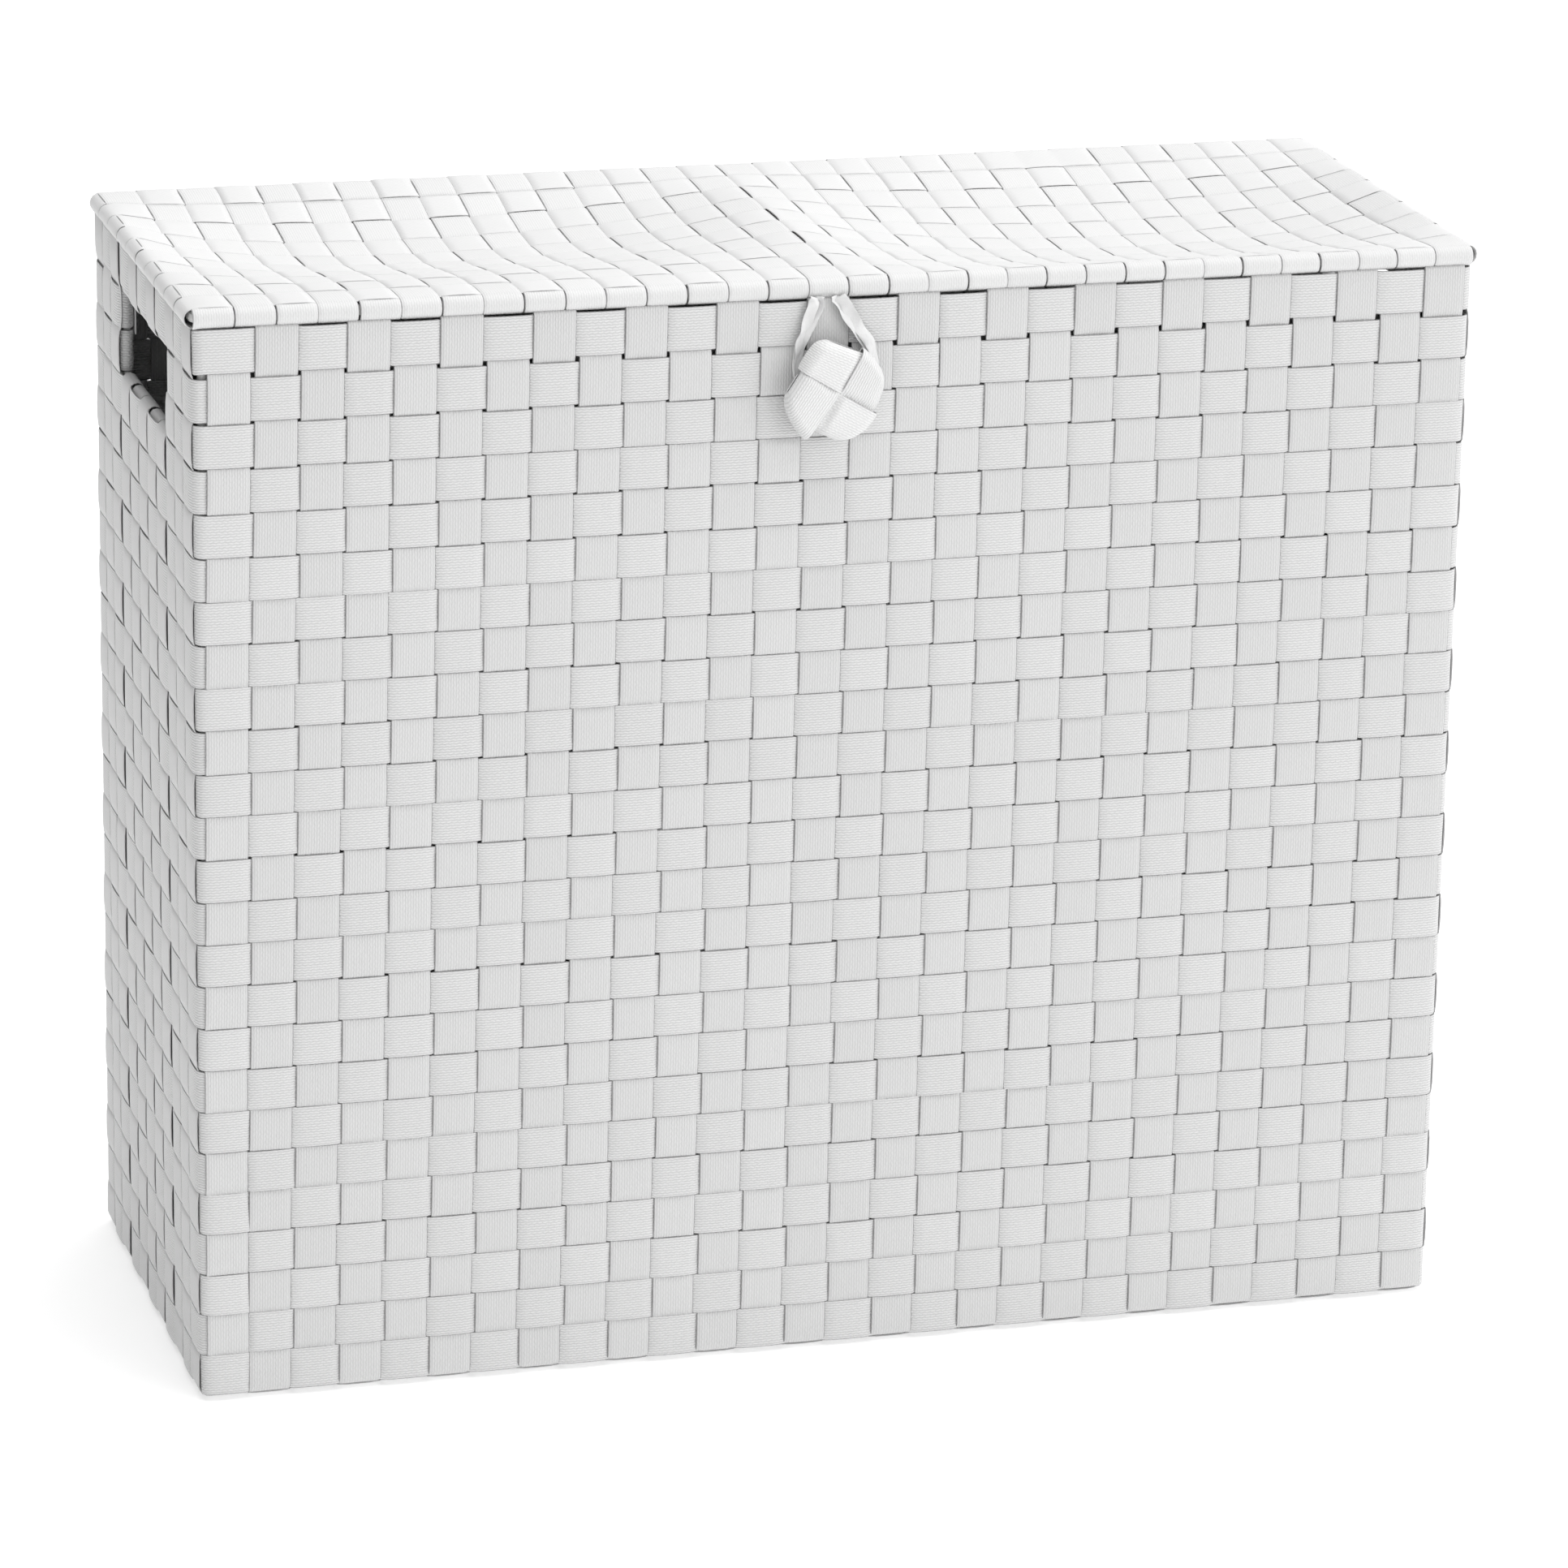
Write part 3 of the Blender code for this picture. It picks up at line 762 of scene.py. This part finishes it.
def base_corner(side, index, base_sign):
    """Round the bottom ring, from the wall to the base."""
    across = side.along * along_side(side, index, BASE_RING_Z)
    start = side.reach - side.ring + stake_sign(side, index, HOOP_ROWS) * WEAVE_LIFT
    end = BASE_RING_Z - BASE_Z + base_sign * WEAVE_LIFT * 0.5
    return list(arc(side.out * side.ring + across + UP * BASE_RING_Z, side.out, -UP, 0, 90, start, end))


def base_crossings(first, last, limit, crossings):
    """Straight under the base between two feet; crossings give the place and sign of each one."""
    run = (last - first).normalized()
    found = []
    for distance, sign in crossings:
        for share, part in CROSSING:
            spot = distance + share * HALF_STAKE
            if 0 < spot < limit:
                centre = first + run * spot
                centre.z = BASE_Z - sign * WEAVE_LIFT * part
                found.append((centre, -UP, sign * WEAVE_CROWN, 0.0))
    return found


def long_stake(index):
    """One strap down the front, under the base and up the rear."""
    rows = list(range(1, HOOP_ROWS + 1))
    strap = Strap(strap_shade(3, index), index * 0.0137)
    base_sign = {number: 1 if (index + number) % 2 == 0 else -1
                 for number in range(1, len(END_PLACES) + 1)}

    strap.extend(stake_down(FRONT, index, rows, "ring"))
    strap.extend(base_corner(FRONT, index, base_sign[1]))
    first = Vector((long_x(FRONT, index, BASE_RING_Z), -RING_Y, 0))
    last = Vector((long_x(REAR, index, BASE_RING_Z), RING_Y, 0))
    crossings = [(END_PLACES[number - 1] + RING_Y, base_sign[number]) for number in base_sign]
    strap.extend(base_crossings(first, last, 2 * RING_Y, crossings))

    head = None if index in HINGED_STAKES else "ring"
    strap.extend(reversed(base_corner(REAR, index, base_sign[len(END_PLACES)])))
    rear = stake_down(REAR, index, rows, head)
    if head is None:
        rear = [station for station in rear if station[0].z < TOP_RING_Z - 2 * WIRE_RADIUS]
    strap.extend(reversed(rear))
    return strap


def end_stake(index):
    """One strap down the left end, under the base and up the right end."""
    handle = index in HAND_STAKES
    rows = list(range(HAND_ROWS[-1] + 1 if handle else 1, HOOP_ROWS + 1))
    head = "hand" if handle else "ring"
    tail = HAND_TAIL if handle else RIM_TAIL
    strap = Strap(strap_shade(4, index), index * 0.0119)
    base_sign = {number: 1 if (index + number) % 2 else -1 for number in range(1, LONG_COUNT + 1)}

    strap.extend(stake_down(LEFT, index, rows, head, tail))
    strap.extend(base_corner(LEFT, index, base_sign[1]))
    first = Vector((-RING_X, end_y(LEFT, index, BASE_RING_Z), 0))
    last = Vector((RING_X, end_y(RIGHT, index, BASE_RING_Z), 0))
    share = END_PLACES[index - 1] / (2 * RING_Y) + 0.5
    crossings = []
    for number in base_sign:
        near, far = long_x(FRONT, number, BASE_RING_Z), long_x(REAR, number, BASE_RING_Z)
        crossings.append((near + (far - near) * share + RING_X, base_sign[number]))
    strap.extend(base_crossings(first, last, 2 * RING_X, crossings))
    strap.extend(reversed(base_corner(RIGHT, index, base_sign[LONG_COUNT])))
    strap.extend(reversed(stake_down(RIGHT, index, rows, head, tail)))
    return strap


def short_stake(side, index):
    """The strap over a hand hole, from the rim round the hole's upper wire."""
    strap = Strap(strap_shade(5, index), index * 0.0093)
    strap.extend(stake_down(side, index, [1], "ring", SHORT_RIM_TAIL, foot=False))
    place = along_side(side, index, HAND_TOP_Z)
    centre = side.out * side.wire + side.along * place + UP * HAND_TOP_Z
    outer = side.reach - side.wire + stake_sign(side, index, 1) * WEAVE_LIFT * 0.5
    strap.extend(arc(centre, side.out, -UP, 0, 180, outer, HAND_TUCK))
    strap.add(centre - side.out * HAND_TUCK + UP * SHORT_HAND_TAIL, -side.out)
    return strap


def make_stakes():
    odd = [long_stake(index) for index in range(1, LONG_COUNT + 1, 2)]
    even = [long_stake(index) for index in range(2, LONG_COUNT + 1, 2)]
    ends = [end_stake(index) for index in range(1, len(END_PLACES) + 1)]
    over_left = [short_stake(LEFT, index) for index in HAND_STAKES]
    over_right = [short_stake(RIGHT, index) for index in HAND_STAKES]
    for name, straps, nodes in (("long_stakes_odd", odd, ("front_stakes", "base_weave")),
                                ("long_stakes_even", even, ("rear_stakes",)),
                                ("end_stakes", ends, ("left_stakes", "right_stakes")),
                                ("short_stakes_left", over_left, ()),
                                ("short_stakes_right", over_right, ())):
        piece = sweep(name, straps, STAKE_WEBBING_PAINTED_SHADE, STAKE_WIDTH)
        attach(piece, "basket")
        if nodes:
            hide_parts(*nodes)


# ---------------------------------------------------------------- lid

def sag(x, y):
    """How far the lid hangs below its rails."""
    depth, deepest, sharp = SAG_LEFT if x < 0 else SAG_RIGHT
    share = min(max((y - LID_FRONT) / (LID_REAR - LID_FRONT), 0.0), 1.0)
    bend = math.log(0.5) / math.log(deepest)
    front_to_back = math.sin(math.pi * share ** bend) ** sharp if 0 < share < 1 else 0.0
    from_side = max(LID_X - abs(x), 0.0)
    from_ridge = math.hypot(x, SAG_RIDGE_ROUND) - SAG_RIDGE_ROUND
    side = 1 - math.exp(-from_side / SAG_SIDE_RUN)
    ridge = 1 - math.exp(-from_ridge / SAG_RIDGE_RUN)
    return depth * side * ridge * front_to_back + SAG_RIDGE * math.sin(math.pi * share) * side


def lid_surface(x, y, lift):
    """Place and outward direction on the lid, lifted off its middle surface."""
    step = SLOPE_STEP
    slope_x = (sag(x + step, y) - sag(x - step, y)) / (2 * step)
    slope_y = (sag(x, y + step) - sag(x, y - step)) / (2 * step)
    normal = Vector((slope_x, slope_y, 1)).normalized()
    height = LID_RAIL_Z + LID_MIDDLE - sag(x, y)
    return Vector((x, y, height)) + normal * lift, normal


def lid_cross_x(index):
    place = (index - (LID_CROSS_COUNT + 1) / 2) * LID_CROSS_PITCH
    return place + uneven(LID_CROSS_JITTER, index * 3.7, 8.0)


def lid_row_y(index):
    return LID_FRONT + (index - 0.5) * LID_ROW_PITCH + uneven(LID_ROW_JITTER, index * 5.3, 4.0)


def cross_over(cross, row):
    if cross in HINGED_CROSS and row == LID_ROW_COUNT:
        return False
    return (cross + row) % 2 == 1


def underside(x, y):
    """Height of a tucked end below the lid."""
    return min(LID_RAIL_Z - LID_TUCK, LID_RAIL_Z + LID_MIDDLE - sag(x, y) - LID_TAIL_GAP)


def lid_end(rail, outward, lift, inward_run):
    """Stations of a tucked end and the turn round a rail, from below to above."""
    found = []
    for share in LID_TAIL_SHARES:
        spot = rail - outward * inward_run * share
        spot.z = underside(spot.x, spot.y)
        found.append((spot, -UP))
    found.extend(arc(rail, outward, UP, -90, 90, LID_TUCK, LID_MIDDLE + lift, 8))
    return found


def lid_strap(index, is_cross):
    strap = Strap(strap_shade(6 if is_cross else 7, index), index * 0.0127)
    if is_cross:
        width, others = LID_CROSS_WIDTH, range(1, LID_ROW_COUNT + 1)
        ends = ((lid_cross_x(index), LID_FRONT), (lid_cross_x(index), LID_REAR))
        outward = Vector((0, -1, 0))
    else:
        width, others = LID_ROW_WIDTH, range(1, LID_CROSS_COUNT + 1)
        ends = ((-LID_X, lid_row_y(index)), (LID_X, lid_row_y(index)))
        outward = Vector((-1, 0, 0))
    half = (LID_ROW_WIDTH if is_cross else LID_CROSS_WIDTH) / 2 - EDGE_MARGIN

    def sign(other):
        over = cross_over(index, other) if is_cross else not cross_over(other, index)
        return 1 if over else -1

    def rail_lift(other):
        return 0.0 if sign(other) > 0 else LID_RAIL_BULGE

    first, last = (Vector((x, y, LID_RAIL_Z)) for x, y in ends)
    strap.extend(lid_end(first, outward, rail_lift(others[0]), LID_TAIL))
    short = is_cross and index in HINGED_CROSS
    for other in others:
        lift = sign(other) * LID_LIFT
        centre = lid_row_y(other) if is_cross else lid_cross_x(other)
        for share, part in CROSSING:
            spot = centre + share * half
            x, y = (lid_cross_x(index), spot) if is_cross else (spot, lid_row_y(index))
            low, high = (LID_FRONT, LID_REAR) if is_cross else (-LID_X, LID_X)
            if short:
                high -= HINGED_CROSS_GAP
            if low + EDGE_MARGIN < spot < high - EDGE_MARGIN:
                place, normal = lid_surface(x, y, lift * part)
                strap.add(place, normal, sign(other) * WEAVE_CROWN)
    if not short:
        strap.extend(reversed(lid_end(last, -outward, rail_lift(others[-1]), LID_TAIL)))
    return strap


def make_lid():
    crosses = [lid_strap(index, True) for index in range(1, LID_CROSS_COUNT + 1)]
    rows = [lid_strap(index, False) for index in range(1, LID_ROW_COUNT + 1)]
    for name, straps, finish, width in (
            ("lid_cross_straps", crosses, LID_CROSS_WEBBING, LID_CROSS_WIDTH),
            ("lid_length_straps", rows, LID_WEBBING, LID_ROW_WIDTH)):
        piece = sweep(name, straps, finish, width)
        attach(piece, "lid")
        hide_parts("lid_weave")


def make_hinge_loops():
    """A strap round both rear rails, its end lapped on the inside."""
    for side_name in ("left", "right"):
        node_name = f"hinge_loop_{side_name}"
        low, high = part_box(node_name)
        x = middle(low.x, high.x)
        radius = WIRE_RADIUS + LOOP_GAP
        out, back = Vector((0, 1, 0)), Vector((0, -1, 0))
        bottom = Vector((x, LID_REAR, TOP_RING_Z))
        top = Vector((x, LID_REAR, LID_RAIL_Z))
        strap = Strap(0.2, x)
        strap.add(bottom + back * radius + UP * LOOP_START, back)
        strap.extend(arc(bottom, back, -UP, 0, 180, radius, radius, 8))
        strap.extend(arc(top, out, UP, 0, 180, radius, radius + LOOP_SPREAD, 8))
        for inward, height in LOOP_LAP:
            strap.add(bottom + back * (radius + inward) + UP * height, back)
        piece = sweep("strap_" + node_name, [strap], STAKE_WEBBING_PAINTED_SHADE)
        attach(piece, "basket")
        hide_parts(node_name)


# ---------------------------------------------------------------- pull

# Each strand, across from the pull's middle, out from the basket's front, and down from the lid's rail
LEFT_STRAND = ((-0.0090, 0.0003, 0.0033), (-0.0100, 0.0016, 0.0066), (-0.0140, 0.0019, 0.0166),
               (-0.0180, 0.0017, 0.0260), (-0.0188, 0.0016, 0.0380), (-0.0150, 0.0016, 0.0490))
RIGHT_STRAND = ((0.0005, 0.0003, 0.0033), (0.0020, 0.0016, 0.0066), (0.0080, 0.0020, 0.0166),
                (0.0145, 0.0018, 0.0260), (0.0158, 0.0016, 0.0380), (0.0120, 0.0016, 0.0490))
STRAND_STEPS = 6

# Crinkled strips of each strand: the width, then places down it, each giving how far the strip lies
# across from the strand's route and how far its face turns in degrees
LEFT_STRIPS = ((0.0050, ((-0.0023, 20), (-0.0023, -10), (-0.0014, 35), (0.0002, 40), (0.0004, 5))),
               (0.0046, ((-0.0001, -35), (0.0008, -48), (-0.0001, -20), (0.0000, 15), (0.0008, 0))))
RIGHT_STRIPS = ((0.0056, ((-0.0001, -12), (0.0007, -25), (0.0001, 22), (0.0008, 35), (0.0010, 5))),
                (0.0042, ((-0.0026, 40), (-0.0020, 50), (-0.0016, 40), (-0.0008, 10), (0.0000, 0))))

# The knot's four folds meet at a point on its face, given across and up from the middle of its solid.
# For each: the angle of its run in degrees, how far out its fold lies at its inner edge and at its
# outer edge, how much that line bows, its width at the fold and at the middle, and how far forward the
# strap behind it lies
Fold = namedtuple("Fold", "angle inner_reach outer_reach bow fold_width middle_width level")
KNOT_FOLDS = (Fold(-31.2, 0.0215, 0.0198, 0.0008, 0.0178, 0.0212, 0.0000),
              Fold(240.4, 0.0225, 0.0142, 0.0014, 0.0178, 0.0210, 0.0010),
              Fold(149.1, 0.0214, 0.0135, 0.0022, 0.0196, 0.0214, 0.0000),
              Fold(54.0, 0.0264, 0.0175, 0.0008, 0.0196, 0.0212, 0.0010))
KNOT_MEETING = (-0.0035, 0.0012)
CORNER_SHARE = 0.70
CORNER_CUT = 0.0035
KNOT_HALF = 0.0050
KNOT_STRAP = 0.0008
FOLD_DEPTH = 0.0042
FOLD_ROUND = 0.0072
KNOT_SIDE_RUN = 0.0052
KNOT_UNDER = 0.0065
KNOT_BEHIND = 0.0150
KNOT_LIFT = (0.00040, -0.00075)
KNOT_EDGE_SHARE = 0.12
KNOT_DIP_RUN = 0.0035
KNOT_CROWN = 0.0006
KNOT_SPREAD = 1.2
KNOT_SECTION = 28
KNOT_STEPS = 90
STRAP_APART = 4
NUDGE_ALONG = 0.0002
NUDGE_ACROSS = 0.02


def smooth_route(points, steps):
    """Points on a Catmull-Rom curve through the route."""
    route = [Vector(point) for point in points]
    padded = [2 * route[0] - route[1]] + route + [2 * route[-1] - route[-2]]
    result = []
    for before, start, end, after in zip(padded, padded[1:], padded[2:], padded[3:]):
        for step in range(steps):
            t = step / steps
            result.append(0.5 * (2 * start + (end - before) * t
                                 + (2 * before - 5 * start + 4 * end - after) * t ** 2
                                 + (3 * start - before - 3 * end + after) * t ** 3))
    return result + [route[-1]]


def ribbon_finish():
    finish, shader = new_finish("ribbon film", RIBBON_WHITE, 0.38, Sheen_Weight=0.3,
                                Transmission_Weight=0.10)
    graph = Graph(finish)
    crinkle_and_shade = graph.speckle(420.0, 4.0)
    folds = graph.speckle(150.0, 1.0)
    # Painted light and shade on the crinkles: the colour follows the crinkle bump, darker in its dips
    # and lighter on its crests
    graph.tint(shader, RIBBON_WHITE, graph.scale(crinkle_and_shade, 0.93, 1.05))
    graph.emboss(shader, graph.math("ADD", graph.math("MULTIPLY", crinkle_and_shade, 0.6), folds), 0.7, 0.0009)
    return finish


def route_length(points):
    return sum((after - before).length for before, after in zip(points, points[1:]))


def blend(values, share):
    """Smooth reading between evenly spaced values."""
    spot = share * (len(values) - 1)
    first = min(int(spot), len(values) - 2)
    part = spot - first
    part = part * part * (3 - 2 * part)
    return values[first] + (values[first + 1] - values[first]) * part


def make_ribbons():
    """The two strands that the knot hangs on; each is a ribbon doubled into two crinkled strips."""
    front = -hoop_high.y
    finish = ribbon_finish()
    for name, strand, strips in (("pull_ribbon_left", LEFT_STRAND, LEFT_STRIPS),
                                 ("pull_ribbon_right", RIGHT_STRAND, RIGHT_STRIPS)):
        points = [Vector((PULL_X + across, front - out, LID_RAIL_Z - down))
                  for across, out, down in strand]
        line = smooth_route(points, STRAND_STEPS)
        straps = []
        for number, (width, shape) in enumerate(strips):
            strap = Strap(0.0, 0.0)
            for station, place in enumerate(line):
                share = station / (len(line) - 1)
                aside = blend([across for across, _ in shape], share)
                turn = blend([turn for _, turn in shape], share) + 10 * math.sin(share * 31 + number)
                angle = math.radians(turn)
                ahead = 0.0007 - 0.0009 * number + uneven(0.0003, share * 9, number * 5.0)
                strap.add(place + Vector((aside, -ahead, 0)), (math.sin(angle), -math.cos(angle), 0),
                          0.0007 * math.sin(share * 15 + number * 2), 0.0003 * math.sin(share * 24))
            straps.append(strap)
        piece = sweep(name + "_film", straps, finish, strips[0][0], RIBBON_THICKNESS, 1.3)
        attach(piece, "pull")
        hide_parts(name)
        tuple(line[0])
        route_length(line)
        [tuple(place) for place in line]


def pillow(distance, run):
    """Share of the full height, a distance in from a rounded edge."""
    left = max(0.0, 1.0 - distance / run)
    return math.sqrt(max(0.0, 1.0 - left * left))


def smooth_step(value):
    value = min(max(value, 0.0), 1.0)
    return value * value * (3 - 2 * value)


def knot_edge(distance):
    """Share of the strap's full height, a distance in from its long outer edge."""
    return KNOT_EDGE_SHARE + (1 - KNOT_EDGE_SHARE) * pillow(distance, KNOT_SIDE_RUN)


def folded_place(fold, travelled, across):
    """Where a point of a strap lies after folding: on the front for a positive distance from the
    fold, behind for a negative one. Gives its place along the strap from the meeting point, across
    it, and towards the front."""
    share = (across + 1) / 2
    bow = math.sin(math.pi * share)
    reach = fold.inner_reach + (fold.outer_reach - fold.inner_reach) * share + fold.bow * bow
    reach -= CORNER_CUT * max(0.0, (share - CORNER_SHARE) / (1 - CORNER_SHARE)) ** 2
    if abs(travelled) < FOLD_ROUND:
        inward = FOLD_DEPTH * (1 - math.cos(math.pi / 2 * travelled / FOLD_ROUND))
    else:
        straight = KNOT_UNDER - FOLD_DEPTH
        stretch = (reach + straight) / (fold.inner_reach + straight)
        inward = FOLD_DEPTH + (abs(travelled) - FOLD_ROUND) * stretch
    run = inward - reach
    spread = min(inward / fold.inner_reach, KNOT_SPREAD)
    width = fold.fold_width + (fold.middle_width - fold.fold_width) * spread
    rounded = pillow(inward, FOLD_DEPTH)
    height = KNOT_HALF * rounded * knot_edge((1 - share) * width)
    if travelled < 0:
        height *= knot_edge(share * width)
        return run, share * width, fold.level * rounded - height
    over, under = KNOT_LIFT
    dip = smooth_step(run / KNOT_DIP_RUN + 1)
    height += (over + (under - over) * dip) * rounded
    height += KNOT_CROWN * bow * (1 - dip) * rounded
    return run, share * width, height


def make_knot():
    """A strap folded into a flat knot: four folds that tuck under each other in turn. Each fold is
    first swept straight, two across, and then bent into place."""
    low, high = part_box("pull_knot")
    meeting = (low + high) / 2 + Vector((KNOT_MEETING[0], 0, KNOT_MEETING[1]))
    behind = FOLD_ROUND + KNOT_BEHIND - FOLD_DEPTH
    straps = []
    for number, fold in enumerate(KNOT_FOLDS):
        strap = Strap(strap_shade(8, number), number * 0.031)
        length = behind + FOLD_ROUND + fold.inner_reach + KNOT_UNDER - FOLD_DEPTH
        for step in range(KNOT_STEPS + 1):
            strap.add((step / KNOT_STEPS * length, 0, number * STRAP_APART), UP)
        straps.append(strap)
    piece = sweep("folded_knot", straps, KNOT_WEBBING, 2.0, 1.0, section_points=KNOT_SECTION)

    def placed(fold, travelled, across):
        along, aside, ahead = folded_place(fold, travelled, min(max(across, -1), 1))
        angle = math.radians(fold.angle)
        run = Vector((math.cos(angle), 0, math.sin(angle)))
        side = Vector((-run.z, 0, run.x))
        return meeting + run * along + side * aside + Vector((0, -ahead, 0))

    for vertex in piece.data.vertices:
        distance, across, layer = vertex.co
        number = round(layer / STRAP_APART)
        fold = KNOT_FOLDS[number]
        travelled = distance - behind
        along = (placed(fold, travelled + NUDGE_ALONG, across)
                 - placed(fold, travelled - NUDGE_ALONG, across))
        wide = (placed(fold, travelled, across + NUDGE_ACROSS)
                - placed(fold, travelled, across - NUDGE_ACROSS))
        lifted = along.cross(wide).normalized() * (layer - number * STRAP_APART) * KNOT_STRAP
        vertex.co = placed(fold, travelled, across) + lifted
    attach(piece, "pull")
    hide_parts("pull_knot")
    return piece


# ---------------------------------------------------------------- floor, light and frame finishes

WIRE_NODES = ("top_ring", "base_ring", "lid_ring", "corner_post", "base_crossbar", "hand_hole_wire",
              "lid_crossbar")


def finish_frame():
    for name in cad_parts:
        if name.startswith(WIRE_NODES):
            node = bpy.data.objects[name]
            node.data.materials.clear()
            node.data.materials.append(WIRE_COAT)


def make_floor():
    half = FLOOR_HALF
    corners = [(-half, -half, 0), (half, -half, 0), (half, half, 0), (-half, half, 0)]
    data = bpy.data.meshes.new("floor")
    data.from_pydata(corners, [], [(0, 1, 2, 3)])
    floor = bpy.data.objects.new("floor", data)
    bpy.context.collection.objects.link(floor)
    data.materials.append(floor_finish())


def area_light(name, place, target, size, energy):
    data = bpy.data.lights.new(name, "AREA")
    data.shape = "RECTANGLE"
    data.size, data.size_y = size
    data.energy = energy
    light = bpy.data.objects.new(name, data)
    bpy.context.collection.objects.link(light)
    light.location = place
    light.rotation_euler = (Vector(target) - Vector(place)).to_track_quat("-Z", "Y").to_euler()


def make_light():
    scene = bpy.context.scene
    scene.view_settings.view_transform = "Standard"
    scene.view_settings.look = "None"
    world = bpy.data.worlds.new("studio")
    scene.world = world
    world.use_nodes = True
    graph = Graph(world)
    background = world.node_tree.nodes["Background"]
    split = graph.node("ShaderNodeSeparateXYZ")
    graph.put(graph.node("ShaderNodeTexCoord").outputs["Generated"], split.inputs[0])
    rightness = graph.math("MULTIPLY", split.outputs["X"], SKY_SIDE)
    grey = graph.node("ShaderNodeCombineXYZ")
    for socket in grey.inputs:
        graph.put(graph.math("ADD", rightness, SKY_STRENGTH), socket)
    graph.put(grey.outputs[0], background.inputs["Color"])
    background.inputs["Strength"].default_value = 1.0
    for lamp in LAMPS:
        area_light(*lamp)


make_camera()
KNOT = make_knot()
make_ribbons()
make_hoops()
make_stakes()
make_lid()
make_hinge_loops()
finish_frame()
make_floor()
make_light()
